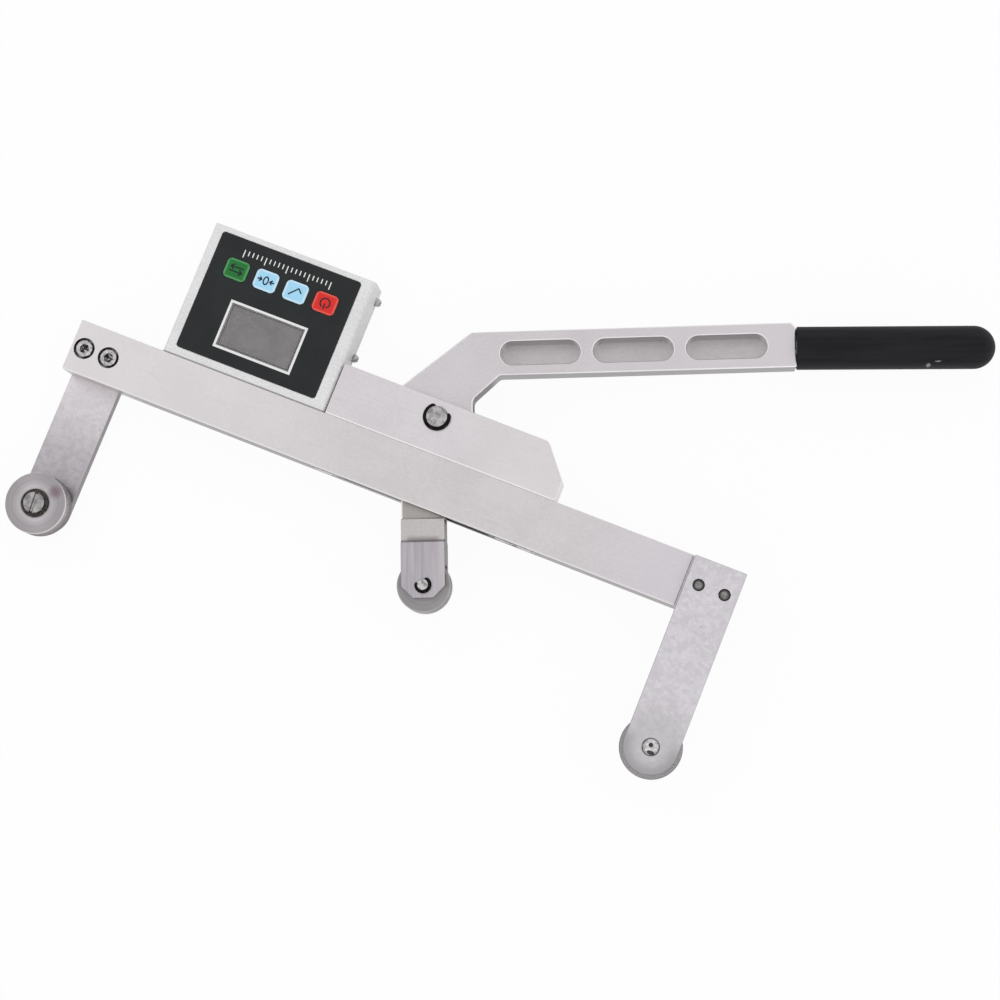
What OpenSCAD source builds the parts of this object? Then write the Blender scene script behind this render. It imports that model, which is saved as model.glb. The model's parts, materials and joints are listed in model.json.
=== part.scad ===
// Three-roller wire rope tension meter, lying on its back in the open position.
// X runs along the beam, Y from the rollers towards the handle, Z from the back to the front.
// The origin is the centre of the beam's back face.

/* [Beam] */
// Length of the beam
beam_l = 334; // [320:1:350]
// Height of the beam
beam_h = 25; // [24:0.5:28]
// Thickness of the beam, back to front
beam_t = 18; // [17.5:0.5:21]
// Depth of the step that seats each arm
seat_depth = 0.5; // [0.3:0.1:1]
// Open strip beside an arm in its seat
seat_gap = 0.8; // [0.3:0.1:1.5]
// Room in the lever slot beside the closed stem
slot_room_left = 16.6; // [4:0.1:18]
// Room in the lever slot beside the open stem
slot_room_right = 21.7; // [4:0.1:24]

/* [Arms] */
// Width of an arm
arm_w = 25; // [24:0.5:28]
// Thickness of an arm
arm_t = 5; // [4:0.5:7]
// Drop from the beam's underside to the outer rollers' axes
roller_drop = 63.5; // [60:0.5:70]
// Distance between the two screws of an arm
arm_screw_pitch = 12.5; // [11.5:0.1:13]
// Thread diameter of the arm screws and the housing screws
screw_d = 5; // [4:0.5:5.5]
// Hole that clears such a screw
screw_clear_d = 5.6; // [5.6:0.1:6]
// Head diameter of such a screw
head_d = 8.5; // [8:0.1:9]
// Head height of such a screw
head_h = 5; // [4:0.5:5.5]
// Hexagon of such a screw, across flats
hex_w = 4; // [3:0.5:5]
// Counterbore for such a head
counterbore_d = 10; // [9.5:0.1:10.5]
// How far the heads lie below the surface
head_sink = 0.5; // [0.2:0.1:1]
// Countersunk mouth of the tapped holes in the arms
mouth_d = 6.1; // [5.8:0.1:7]

/* [Outer rollers] */
// Diameter over the flanges
roller_d = 29; // [28:0.5:32]
// Width of the roller
roller_w = 12; // [11:0.5:13]
// Depth of the rope groove
groove_depth = 3.5; // [2.5:0.25:4]
// Radius of the rope groove
groove_r = 4; // [3.5:0.25:4.5]
// Diameter of the axle
axle_d = 10; // [9:0.5:11]
// Diameter of the axle's threaded end
axle_thread_d = 8; // [7:0.5:9]
// Wall of the roller bush
bush_wall = 1.25; // [1:0.25:2.5]
// Outside diameter of the axle ring
axle_ring_d = 12.9; // [12.5:0.1:14]
// Width of the screwdriver slot in the axle's end
driver_slot_w = 1.4; // [1:0.1:2]

/* [Pivot] */
// Height of the pivot above the beam
pivot_h = 17; // [16.5:0.25:18]
// Diameter of the pivot pin
pivot_d = 9.75; // [8:0.25:10]
// Wall of the bush in the lever
lever_bush_wall = 2; // [1.5:0.25:3]
// Outside diameter of the pivot rings
pivot_ring_d = 13.1; // [12.5:0.1:14.5]
// Length of the housing along the beam
housing_l = 115; // [112:0.5:118]
// Height of the housing
housing_h = 25; // [24.5:0.25:26]
// Bevel of the housing's end, along the beam
bevel_x = 12.5; // [10:0.5:15]
// Bevel of the housing's end, across the beam
bevel_y = 15; // [12:0.5:17]
// Rounding at the top of the bevel
bevel_r = 4; // [2:0.5:6]

/* [Lever] */
// Angle between handle and beam when open
open_angle = 22.6; // [20:0.2:24]
// Thickness of the handle and of the body
lever_t = 12; // [11:0.5:12.5]
// Thickness of the stem inside the beam
stem_t = 8; // [7:0.5:9]
// Height of the handle
handle_h = 21; // [18:0.5:22]
// Pivot to the handle's lower edge
handle_rise = 19.2; // [18:0.2:22]
// Pivot to the end of the handle
handle_l = 166.7; // [160:0.5:175]
// Pivot to where the web meets the handle's lower edge
web_x = 29.1; // [27:0.2:32]
// Pivot to where the web meets the handle's upper edge
web_top_x = 16.2; // [14:0.2:19]
// Height of the body's straight side, opposite the handle
shoulder_h = 15.8; // [13:0.2:16]
// Fillet between body and web
web_fillet = 3.7; // [2.5:0.1:4]
// Fillet between web and handle
handle_fillet = 3; // [1:0.5:5]
// Chamfer at the handle's end
end_chamfer = 2; // [1:0.25:3]
// Length of a pocket in the handle
pocket_l = 37.2; // [34:0.2:39]
// Height of a pocket
pocket_h = 11.1; // [9:0.1:13]
// Distance between pockets
pocket_pitch = 43.2; // [42:0.1:44]
// End of the handle to the last pocket
pocket_end = 13.4; // [10:0.2:14]
// Floor left behind a pocket
pocket_floor = 1.5; // [1:0.25:3]

/* [Grip] */
// Diameter of the grip
grip_d = 20; // [18:0.2:21]
// Length of the grip
grip_l = 91.4; // [85:0.2:100]
// Diameter of the tang inside the grip
tang_d = 12; // [10:0.5:12.5]
// Length of the tang
tang_l = 74; // [60:1:78]
// Tilt of the grip against the handle
grip_tilt = 1.4; // [0:0.2:2]
// Middle of the handle to the start of the grip's axis
grip_drop = 0.6; // [0:0.1:1]

/* [Fork] */
// Width of the fork and of the stem
fork_w = 20.4; // [19:0.2:22]
// Offset of the fork from the pivot
fork_offset = 7.5; // [7:0.1:8]
// Thickness of the fork's web
web_t = 12; // [11:0.5:13]
// Thickness over the cheeks
cheek_t = 16; // [15.5:0.25:17]
// Shoulder of the fork to the top of the cheeks
web_drop = 11; // [8:0.2:13]
// Shoulder of the fork to the centre roller's axis
fork_drop = 31; // [29:0.2:36]
// Axis of the centre roller to the lower edge of the cheeks
cheek_below = 5.9; // [5:0.1:7]
// Chamfer of the cheeks' lower corners
cheek_chamfer = 5.5; // [4:0.25:6.5]
// Cove where web and cheeks meet
cove_r = 2; // [1:0.25:2]
// Thread diameter of the fork screws
fork_screw_d = 4; // [3:0.5:4]
// Distance between the fork screws
fork_screw_pitch = 9; // [8.5:0.1:9.5]

/* [Centre roller] */
// Diameter over the flanges
centre_d = 25; // [24:0.25:26.5]
// Width of the roller
centre_w = 11.4; // [10.5:0.1:11.8]
// Diameter of the pin
centre_pin_d = 5; // [4.5:0.25:6]
// Wall of the bush
centre_bush_wall = 1.5; // [1:0.25:2]
// Outside diameter of the pin rings
centre_ring_d = 7.9; // [7.5:0.1:9]

/* [Case] */
// Pivot to the case, along the beam
case_x = 50.5; // [49:0.5:54]
// Width of the case
case_w = 82.5; // [81:0.25:84]
// Height of the case
case_h = 66; // [64:0.5:70]
// Depth of the case, back to front
case_d = 20; // [19.5:0.25:22]
// Wall of the case
case_wall = 2; // [1.8:0.1:2.5]
// Bend between the front and the left and right sides
bend_r = 2.25; // [2:0.25:4.75]
// Thickness of the back cover
back_t = 1.6; // [1.2:0.1:2]
// Gap between case and housing
case_gap = 0.8; // [0.6:0.1:2]
// Top of the case to the upper side screws
side_screw_top = 6.2; // [5:0.1:9]
// Distance between the side screws
side_screw_pitch = 28.9; // [26:0.1:29]
// Back of the case to the side screws
side_screw_rise = 3.6; // [3.4:0.1:9]
// Diameter of the side screws
side_screw_d = 3; // [2.5:0.5:3]
// Head diameter of the side screws
side_head_d = 4; // [3.6:0.1:5.5]
// Head height of the side screws
side_head_h = 2.8; // [1.5:0.1:3.5]

/* [Front sheet and keys] */
// Side margin of the case beside the front sheet
sheet_margin_x = 5.75; // [4.5:0.25:7]
// Upper and lower margin of the case beside the front sheet
sheet_margin_y = 3.5; // [3:0.25:5]
// Thickness of the front sheet
sheet_t = 0.5; // [0.4:0.1:0.8]
// Corner radius of the front sheet
sheet_r = 1.5; // [1:0.25:3]
// Sheet's centre left of the case's centre
sheet_left = 0.5; // [0:0.1:1.5]
// Sheet's centre above the case's centre
sheet_up = 0.8; // [0:0.1:1.2]
// Width of the display window
window_w = 37; // [35:0.5:39]
// Height of the display window
window_h = 21.4; // [19:0.2:22]
// Window's centre below the sheet's centre
window_down = 11.5; // [11:0.1:13]
// Width of a key
key_w = 11.2; // [10:0.1:12]
// Height of a key
key_h = 9.6; // [8.5:0.1:10.5]
// Corner radius of a key
key_r = 2.2; // [1:0.1:3]
// Distance between keys
key_pitch = 15.15; // [14.5:0.05:15.8]
// Keys' centre line above the sheet's centre
key_up = 14.3; // [13.5:0.1:15]
// How far a key stands above the sheet
key_proud = 0.5; // [0.45:0.05:0.8]
// Travel of a key
key_travel = 0.4; // [0.3:0.05:0.5]

/* [Inside] */
// Gap between the circuit board and the case's sides
board_gap_x = 4.25; // [3:0.25:5.5]
// Gap between the circuit board and the case's top and bottom
board_gap_y = 4; // [3.25:0.25:5]
// Thickness of the circuit board
board_t = 1.6; // [1:0.1:2]
// Front wall to the circuit board
board_drop = 3.5; // [3:0.1:4]
// Diameter of a cell
cell_d = 10.2; // [9.5:0.1:10.5]
// Length of a cell
cell_l = 44.5; // [43:0.5:46]
// Wall of the cell holder
holder_wall = 1.2; // [1:0.1:1.6]
// Diameter of the gauge lead
lead_d = 2.4; // [1.8:0.1:3]

/* [Hidden] */
$fn = 64;
// Radial gap of a running fit
run_gap = 0.04;
// Radial gap of a pressed or threaded fit
press_gap = 0.02;
// Gap beside a part that turns
side_gap = 0.3;
// Gap beside a part that slides
slide_gap = 0.15;
// Room left at the stops of the lever
stop_gap = 0.3;
// Overcut of a hole past a face
cut = 1;
// Overlap of two shapes that form one solid
weld = 0.1;
// Extra diameter of a hole that a screw passes
pass_gap = 0.4;

mid_z = beam_t / 2;
beam_top = beam_h / 2;
span = beam_l - arm_w;
roller_y = -beam_h / 2 - roller_drop;
pivot_x = fork_offset;
pivot_y = beam_top + pivot_h;
body_gap = 0.5;
body_r = pivot_h - body_gap;

case_x1 = pivot_x - case_x;
case_x0 = case_x1 - case_w;
case_y1 = beam_top + case_h;
case_z0 = beam_t - case_d;
case_mid = [(case_x0 + case_x1) / 2, beam_top + case_h / 2];
wall_in_z = beam_t - case_wall;

housing_x0 = case_x1 + case_gap;
housing_x1 = housing_x0 + housing_l;
housing_y1 = beam_top + housing_h;
housing_thread = 11;
screw_tip = 1;
counterbore_h = head_h + head_sink;

// Lever outline, pivot at [0, 0], handle along +X
handle_top = handle_rise + handle_h;
handle_mid = handle_rise + handle_h / 2;
web_gap = 0.2;
web_low = housing_h - pivot_h + web_gap;
web_angle = atan2(handle_rise - web_low, web_x - body_r);
web_tangent = web_fillet * tan((90 - web_angle) / 2);
handle_tangent = handle_fillet * tan(web_angle / 2);

// Fork, in the same frame: its shoulder meets the beam's underside when open
fork_right = fork_w / 2 - fork_offset;
shoulder = (pivot_h + beam_h + stop_gap + fork_right * sin(open_angle)) / cos(open_angle);
cheek_top = shoulder + web_drop;
fork_reach = shoulder + fork_drop;
cheek_low = fork_reach + cheek_below;
slot_x0 = pivot_x - fork_offset - fork_w / 2 - slot_room_left;
slot_x1 = pivot_x + fork_right * cos(open_angle) + shoulder * sin(open_angle) + slot_room_right;
fork_slot_w = centre_w + 2 * side_gap;
fork_slot_r = centre_d / 2 + 4 * side_gap;
fork_head_d = fork_screw_d + 3;
fork_head_h = fork_screw_d;
fork_head_gap = 1.5;
fork_seat = fork_reach - fork_slot_r - fork_head_h - fork_head_gap;
fork_hex_w = 3;
fork_thread = 10;
housing_screw_x = [
    (housing_x0 + slot_x0) / 2,
    slot_x1 + (housing_x1 - slot_x1) * 0.3,
    slot_x1 + (housing_x1 - slot_x1) * 0.78];

// Rings and grooves
ring_t = 1;
groove_gap = 0.1;
pin_lip = 1.1;
axle_groove = 1;
dome_h = 1;
pivot_groove = 1.4;
centre_groove = 1;
axle_ring_gap = 24;
axle_ring_at = -24;
driver_slot_at = 94;
pivot_ring_gap = 102;
pivot_ring_at = 77.5;
centre_ring_gap = 116;
centre_ring_at = 114;

// Front sheet, display and keys
sheet_w = case_w - 2 * sheet_margin_x;
sheet_h = case_h - 2 * sheet_margin_y;
sheet_mid = [case_mid[0] - sheet_left, case_mid[1] + sheet_up];
sheet_sink = 0.3;
sheet_z = beam_t - sheet_sink;
window_right = 0.45;
window_mid = [sheet_mid[0] + window_right, sheet_mid[1] - window_down];
window_ledge = 0.5;
key_right = 0.3;
key_x = [for (i = [-1.5 : 1.5]) sheet_mid[0] + key_right + i * key_pitch];
key_y = sheet_mid[1] + key_up;
key_pocket = 0.8;
key_stem_d = 3.4;
switch_w = 6;
board_w = case_w - 2 * case_wall - 2 * board_gap_x;
board_h = case_h - 2 * case_wall - 2 * board_gap_y;
board_z1 = wall_in_z - board_drop;
board_z0 = board_z1 - board_t;
switch_gap = 0.7;
switch_h = board_drop - switch_gap;
switch_floor = 0.6;
post_d = 6;
post_screw_d = 2.5;
post_inset = 3.5;
post_x = board_w / 2 - post_inset;
post_y = board_h / 2 - post_inset;
post_head = [4.4, 1.5];
post_tip = 0.5;
mount_screw_d = 4;
mount_thread = 10;
mount_inset = 12;
mount_x = case_w / 2 - mount_inset;
mount_head = [7, 2.4];
flange_t = 1.6;
flange_rise = 4;
side_screw_z = case_z0 + side_screw_rise;
flange_z1 = side_screw_z + flange_rise;
side_screw_y = [case_y1 - side_screw_top, case_y1 - side_screw_top - side_screw_pitch];
gauge_depth = 2.5;
gauge_size = [6, 0.4, 4];
gauge_shift = 5;
gauge_pocket = [20, 8];
socket_inset = 0.5;
socket_y = case_mid[1] - board_h / 2 + socket_inset;
socket_size = [8, 2.5, 4.5];
chip_size = [10, 10, 1.6];
cell_z = case_z0 + back_t + cell_d / 2;
cell_gap = 0.2;
cell_bay = [cell_l + 4 * cell_gap, cell_d + 2 * cell_gap];
holder_size = [cell_bay[0] + 2 * holder_wall, 2 * cell_bay[1] + 3 * holder_wall];
holder_gap = 0.9;
cell_y = socket_y + socket_size[1] + holder_gap + holder_size[1] / 2;
cell_nub = [3.8, 0.8];
lcd_border = [7, 6];

// Points of an arc about a centre
function arc(centre, r, a0, a1, steps = 8) =
    [for (i = [0 : steps]) centre + r * [cos(a0 + (a1 - a0) * i / steps), sin(a0 + (a1 - a0) * i / steps)]];

// Rectangle with round corners, centred
module round_rect(w, h, r) {
    square([w - 2 * r, h], center = true);
    square([w, h - 2 * r], center = true);
    for (x = [-1, 1], y = [-1, 1])
        translate([x * (w / 2 - r), y * (h / 2 - r)]) circle(r);
}

// Plain tube standing on z = 0
module tube(od, id, h) {
    difference() {
        cylinder(d = od, h = h);
        translate([0, 0, -cut]) cylinder(d = id, h = h + 2 * cut);
    }
}

// Socket head screw: seat at z = 0, head up, thread down
module cap_screw(d, head, head_height, hex, length) {
    difference() {
        union() {
            cylinder(d = head, h = head_height);
            translate([0, 0, -length]) cylinder(d = d, h = length + weld);
        }
        translate([0, 0, head_height * 0.45]) cylinder(d = hex / cos(30), h = head_height, $fn = 6);
    }
}

// Pan head screw: seat at z = 0, head up, cross slot, thread down
module pan_screw(d, head, head_height, length) {
    dome_r = (head * head / 4 + head_height * head_height) / (2 * head_height);
    difference() {
        union() {
            intersection() {
                cylinder(d = head, h = head_height);
                translate([0, 0, head_height - dome_r]) sphere(dome_r);
            }
            translate([0, 0, -length]) cylinder(d = d, h = length + weld);
        }
        for (a = [0, 90])
            rotate(a) translate([-head * 0.3, -head * 0.07, head_height * 0.45])
                cube([head * 0.6, head * 0.14, head_height]);
    }
}

// Spring ring with a gap; its two ends are rounded
module gap_ring(od, id, t, gap, at) {
    band = (od - id) / 2;
    mid_r = (od + id) / 4;
    rotate(at) {
        difference() {
            tube(od, id, t);
            translate([0, 0, -cut]) linear_extrude(t + 2 * cut)
                polygon([[0, 0], [od, -od * tan(gap / 2)], [od, od * tan(gap / 2)]]);
        }
        for (a = [-gap / 2, gap / 2])
            rotate(a) translate([mid_r, 0, 0]) cylinder(d = band * 0.85, h = t);
    }
}

// Pin with a ring groove at each end, centred on z = 0; reach is the half width that it holds
module ringed_pin(d, groove_d, reach) {
    end_z = reach + ring_t + groove_gap;
    cylinder(d = groove_d, h = 2 * end_z, center = true);
    cylinder(d = d, h = 2 * reach, center = true);
    for (s = [-1, 1])
        translate([0, 0, s * (end_z + pin_lip / 2)]) cylinder(d = d, h = pin_lip, center = true);
}

// Grooved roller with a bore, centred on z = 0
module grooved_roller(d, w, bore) {
    difference() {
        cylinder(d = d, h = w, center = true, $fn = 96);
        rotate_extrude($fn = 96) translate([d / 2 - groove_depth + groove_r, 0]) circle(groove_r);
        cylinder(d = bore, h = w + 2 * cut, center = true);
    }
}

module at_left_axle() { translate([-span / 2, roller_y, mid_z]) children(); }
module at_right_axle() { translate([span / 2, roller_y, mid_z]) rotate([0, 180, 0]) children(); }
module at_pivot() { translate([pivot_x, pivot_y, mid_z]) children(); }
module at_lever() { at_pivot() rotate(open_angle) children(); }
module at_fork_roller() { at_lever() translate([-fork_offset, -fork_reach, 0]) children(); }
module at_grip() { translate([handle_l, handle_mid - grip_drop, 0]) rotate([0, 90, -grip_tilt]) children(); }
module at_arm_screws(side) {
    for (s = [-1, 1]) translate([side * span / 2 + s * arm_screw_pitch / 2, 0, 0]) children();
}
module at_housing_screws() {
    for (x = housing_screw_x)
        translate([x, -beam_h / 2 + counterbore_h, mid_z]) rotate([90, 0, 0]) children();
}
// Fork screws in the lever's own frame, seats at z = 0
module at_fork_screws() {
    for (s = [-1, 1])
        translate([-fork_offset + s * fork_screw_pitch / 2, -fork_seat, 0]) rotate([90, 0, 0]) children();
}
module at_mount_screws() {
    for (s = [-1, 1])
        translate([case_mid[0] + s * mount_x, beam_top + case_wall, mid_z]) rotate([-90, 0, 0]) children();
}
module at_side_screws() {
    for (y = side_screw_y) {
        translate([case_x1, y, side_screw_z]) rotate([0, 90, 0]) children();
        translate([case_x0, y, side_screw_z]) rotate([0, -90, 0]) children();
    }
}
module at_posts() {
    for (x = [-post_x, post_x], y = [-post_y, post_y])
        translate([case_mid[0] + x, case_mid[1] + y, 0]) children();
}

module main_beam() {
    slot_w = stem_t + 2 * side_gap;
    color("silver") difference() {
        translate([-beam_l / 2, -beam_h / 2, 0]) cube([beam_l, beam_h, beam_t]);
        // Lever slot with round ends
        for (x = [slot_x0 + slot_w / 2, slot_x1 - slot_w / 2])
            translate([x, 0, mid_z]) rotate([90, 0, 0])
                cylinder(d = slot_w, h = beam_h + 2 * cut, center = true);
        translate([slot_x0 + slot_w / 2, -beam_h / 2 - cut, mid_z - slot_w / 2])
            cube([slot_x1 - slot_x0 - slot_w, beam_h + 2 * cut, slot_w]);
        // Seats of the arms
        translate([-beam_l / 2 - cut, -beam_h / 2 - cut, -cut])
            cube([arm_w + seat_gap + cut, beam_h + 2 * cut, seat_depth + cut]);
        translate([beam_l / 2 - arm_w - seat_gap, -beam_h / 2 - cut, beam_t - seat_depth])
            cube([arm_w + seat_gap + cut, beam_h + 2 * cut, seat_depth + cut]);
        // Arm screws: heads at the front on the left, at the back on the right
        at_arm_screws(-1) {
            translate([0, 0, -cut]) cylinder(d = screw_clear_d, h = beam_t + 2 * cut);
            translate([0, 0, beam_t - counterbore_h]) cylinder(d = counterbore_d, h = counterbore_h + cut);
        }
        at_arm_screws(1) {
            translate([0, 0, -cut]) cylinder(d = screw_clear_d, h = beam_t + 2 * cut);
            translate([0, 0, -cut]) cylinder(d = counterbore_d, h = counterbore_h + cut);
        }
        // Housing screws, from the underside
        at_housing_screws() {
            cylinder(d = counterbore_d, h = counterbore_h + cut);
            translate([0, 0, -beam_h]) cylinder(d = screw_clear_d, h = beam_h + cut);
        }
        // Tapped holes for the case, and the gauge pocket under it
        at_mount_screws()
            translate([0, 0, -mount_thread - case_wall - cut])
                cylinder(d = mount_screw_d + 2 * press_gap, h = mount_thread + case_wall + 2 * cut);
        translate([case_mid[0], beam_top - gauge_depth / 2 + cut / 2, mid_z])
            cube([gauge_pocket[0], gauge_depth + cut, gauge_pocket[1]], center = true);
    }
}

// Arm plate on its seat face, z = 0, with the axle at [0, 0] and the screw mouths on the far face
module arm_plate() {
    difference() {
        union() {
            cylinder(d = arm_w, h = arm_t);
            translate([-arm_w / 2, 0, 0]) cube([arm_w, roller_drop + beam_h, arm_t]);
        }
        translate([0, 0, -cut]) cylinder(d = axle_thread_d + 2 * press_gap, h = arm_t + 2 * cut);
        for (s = [-1, 1]) translate([s * arm_screw_pitch / 2, roller_drop + beam_h / 2, 0]) {
            translate([0, 0, -cut]) cylinder(d = screw_d + 2 * press_gap, h = arm_t + 2 * cut);
            translate([0, 0, arm_t - (mouth_d - screw_d) / 2])
                cylinder(d1 = screw_d, d2 = mouth_d + cut, h = (mouth_d - screw_d + cut) / 2);
        }
    }
}
module left_arm() {
    color("darkgray") translate([-span / 2, roller_y, seat_depth]) mirror([0, 0, 1]) arm_plate();
}
module right_arm() {
    color("darkgray") translate([span / 2, roller_y, beam_t - seat_depth]) arm_plate();
}

// Screws that pull an arm against its seat; the ends stop inside the arm
module arm_screw() {
    cap_screw(screw_d, head_d, head_h, hex_w, beam_t - counterbore_h - seat_depth + arm_t - screw_tip);
}
module left_arm_screws() {
    color("dimgray") at_arm_screws(-1) translate([0, 0, beam_t - counterbore_h]) arm_screw();
}
module right_arm_screws() {
    color("dimgray") at_arm_screws(1) translate([0, 0, counterbore_h]) mirror([0, 0, 1]) arm_screw();
}

// Axle about z, arm on the -z side; the free end has a ring groove and a driver slot
module axle() {
    arm_face = seat_depth - mid_z;
    dome_r = (axle_thread_d * axle_thread_d / 4 + dome_h * dome_h) / (2 * dome_h);
    ring_z = roller_w / 2 + side_gap;
    lip_z = ring_z + ring_t + groove_gap;
    driver_slot_h = pin_lip + groove_gap;
    difference() {
        union() {
            intersection() {
                translate([0, 0, arm_face - arm_t]) cylinder(d = axle_thread_d, h = arm_t + weld);
                translate([0, 0, arm_face - arm_t + dome_r]) sphere(dome_r, $fn = 96);
            }
            translate([0, 0, arm_face])
                cylinder(d = axle_d + 2 * bush_wall, h = -arm_face - roller_w / 2 - side_gap);
            translate([0, 0, arm_face]) cylinder(d = axle_d, h = ring_z - arm_face);
            translate([0, 0, arm_face]) cylinder(d = axle_d - axle_groove, h = lip_z - arm_face + weld);
            translate([0, 0, lip_z]) cylinder(d = axle_d, h = pin_lip);
        }
        translate([-axle_d, -driver_slot_w / 2, lip_z + pin_lip - driver_slot_h])
            cube([2 * axle_d, driver_slot_w, driver_slot_h + cut]);
    }
}
module axle_ring() {
    translate([0, 0, roller_w / 2 + side_gap + groove_gap / 2])
        gap_ring(axle_ring_d, axle_d - axle_groove + 2 * press_gap, ring_t, axle_ring_gap, axle_ring_at);
}
module outer_roller() {
    grooved_roller(roller_d, roller_w, axle_d + 2 * bush_wall + 2 * press_gap);
}
module outer_bush() {
    translate([0, 0, -roller_w / 2]) tube(axle_d + 2 * bush_wall, axle_d + 2 * run_gap, roller_w);
}
module left_roller() { color("gainsboro") at_left_axle() outer_roller(); }
module left_roller_bush() { color("peru") at_left_axle() outer_bush(); }
module left_axle() { color("lightgray") at_left_axle() rotate(driver_slot_at) axle(); }
module left_axle_ring() { color("black") at_left_axle() axle_ring(); }
module right_roller() { color("gainsboro") at_right_axle() outer_roller(); }
module right_roller_bush() { color("peru") at_right_axle() outer_bush(); }
module right_axle() { color("lightgray") at_right_axle() rotate(driver_slot_at) axle(); }
module right_axle_ring() { color("black") at_right_axle() axle_ring(); }

module pivot_housing() {
    bevel_angle = atan2(bevel_y, bevel_x);
    bevel_tangent = bevel_r * tan(bevel_angle / 2);
    corner = [housing_x1 - bevel_x - bevel_tangent, housing_y1 - bevel_r];
    slot_w = lever_t + 2 * side_gap;
    slot_from = pivot_x - body_r * cos(open_angle) - shoulder_h * sin(open_angle) - 4 * stop_gap;
    slot_to = pivot_x + body_r + 3 * stop_gap;
    color("silver") difference() {
        linear_extrude(beam_t) polygon(concat(
            [[housing_x0, beam_top], [housing_x1, beam_top], [housing_x1, housing_y1 - bevel_y]],
            arc(corner, bevel_r, 90 - bevel_angle, 90),
            [[housing_x0, housing_y1]]));
        translate([slot_from, beam_top - cut, mid_z - slot_w / 2])
            cube([slot_to - slot_from, housing_h + 2 * cut, slot_w]);
        translate([pivot_x, pivot_y, -cut]) cylinder(d = pivot_d + 2 * press_gap, h = beam_t + 2 * cut);
        for (x = housing_screw_x) translate([x, beam_top - cut, mid_z]) rotate([-90, 0, 0])
            cylinder(d = screw_d + 2 * press_gap, h = housing_thread + 2 * cut);
    }
}
module housing_screws() {
    color("dimgray") at_housing_screws()
        cap_screw(screw_d, head_d, head_h, hex_w, beam_h - counterbore_h + housing_thread);
}
module pivot_pin() {
    color("lightgray") at_pivot() ringed_pin(pivot_d, pivot_d - pivot_groove, mid_z);
}
module pivot_rings() {
    inside_d = pivot_d - pivot_groove + 2 * press_gap;
    color("black") for (s = [0, 180]) at_pivot() rotate([0, s, 0])
        translate([0, 0, mid_z + groove_gap / 2])
            gap_ring(pivot_ring_d, inside_d, ring_t, pivot_ring_gap, pivot_ring_at);
}

// Outline of the handle, web and body
module lever_outline() {
    polygon(concat(
        arc([0, 0], body_r, 180, 360, 24),
        arc([body_r + web_fillet, web_low - web_tangent], web_fillet, 180, 90 + web_angle),
        arc([web_x + handle_tangent, handle_rise - handle_fillet], handle_fillet, 90 + web_angle, 90),
        [[handle_l, handle_rise], [handle_l, handle_top - end_chamfer],
         [handle_l - end_chamfer, handle_top], [web_top_x, handle_top], [-body_r, shoulder_h]]));
}
module pocket() {
    straight = pocket_l - pocket_h;
    for (s = [-1, 1]) translate([s * straight / 2, 0, 0]) cylinder(d = pocket_h, h = lever_t);
    translate([-straight / 2, -pocket_h / 2, 0]) cube([straight, pocket_h, lever_t]);
}
module lever() {
    last_pocket = handle_l - pocket_end - pocket_l / 2;
    color("silver") at_lever() difference() {
        union() {
            translate([0, 0, -lever_t / 2]) linear_extrude(lever_t) lever_outline();
            translate([-fork_offset - fork_w / 2, -shoulder, -stem_t / 2]) cube([fork_w, shoulder, stem_t]);
            at_grip() translate([0, 0, -cut]) cylinder(d = tang_d, h = tang_l + cut);
        }
        for (i = [0 : 2])
            translate([last_pocket - i * pocket_pitch, handle_mid, pocket_floor - lever_t / 2]) pocket();
        cylinder(d = pivot_d + 2 * lever_bush_wall + 2 * press_gap, h = lever_t + 2 * cut, center = true);
        at_fork_screws() translate([0, 0, shoulder - fork_seat - fork_thread - cut])
            cylinder(d = fork_screw_d + 2 * press_gap, h = fork_thread + 2 * cut);
    }
}
module lever_bush() {
    color("peru") at_lever() translate([0, 0, -lever_t / 2])
        tube(pivot_d + 2 * lever_bush_wall, pivot_d + 2 * run_gap, lever_t);
}
module lever_grip() {
    start = slide_gap / 2 + grip_d / 2 * sin(grip_tilt);
    color("black") at_lever() at_grip() difference() {
        union() {
            translate([0, 0, start]) cylinder(d = grip_d, h = grip_l - grip_d / 2 - start);
            translate([0, 0, grip_l - grip_d / 2]) sphere(d = grip_d);
        }
        translate([0, 0, -cut]) cylinder(d = tang_d + 2 * press_gap, h = tang_l + 2 * cut);
    }
}

// Fork: its front outline, cut by its stepped side outline
module roller_fork() {
    color("silver") at_lever() difference() {
        intersection() {
            translate([-fork_offset, 0, -cheek_t]) linear_extrude(2 * cheek_t) polygon([
                [-fork_w / 2, -shoulder], [-fork_w / 2, cheek_chamfer - cheek_low],
                [cheek_chamfer - fork_w / 2, -cheek_low], [fork_w / 2 - cheek_chamfer, -cheek_low],
                [fork_w / 2, cheek_chamfer - cheek_low], [fork_w / 2, -shoulder]]);
            translate([-fork_offset - fork_w, 0, 0]) rotate([90, 0, 90]) linear_extrude(2 * fork_w)
                polygon(concat(
                    [[-shoulder, -web_t / 2], [-shoulder, web_t / 2]],
                    fork_step(1), [[-cheek_low, cheek_t / 2], [-cheek_low, -cheek_t / 2]],
                    fork_step(-1)));
        }
        translate([-fork_offset, -fork_reach, 0]) {
            cylinder(r = fork_slot_r, h = fork_slot_w, center = true);
            translate([-fork_w, -fork_reach, -fork_slot_w / 2]) cube([2 * fork_w, fork_reach, fork_slot_w]);
            cylinder(d = centre_pin_d + 2 * press_gap, h = 2 * cheek_t, center = true);
        }
        at_fork_screws() {
            translate([0, 0, -fork_seat]) cylinder(d = fork_screw_d + pass_gap, h = 2 * fork_seat);
            cylinder(d = fork_head_d + 2 * side_gap, h = fork_reach - fork_seat);
        }
    }
}
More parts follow.
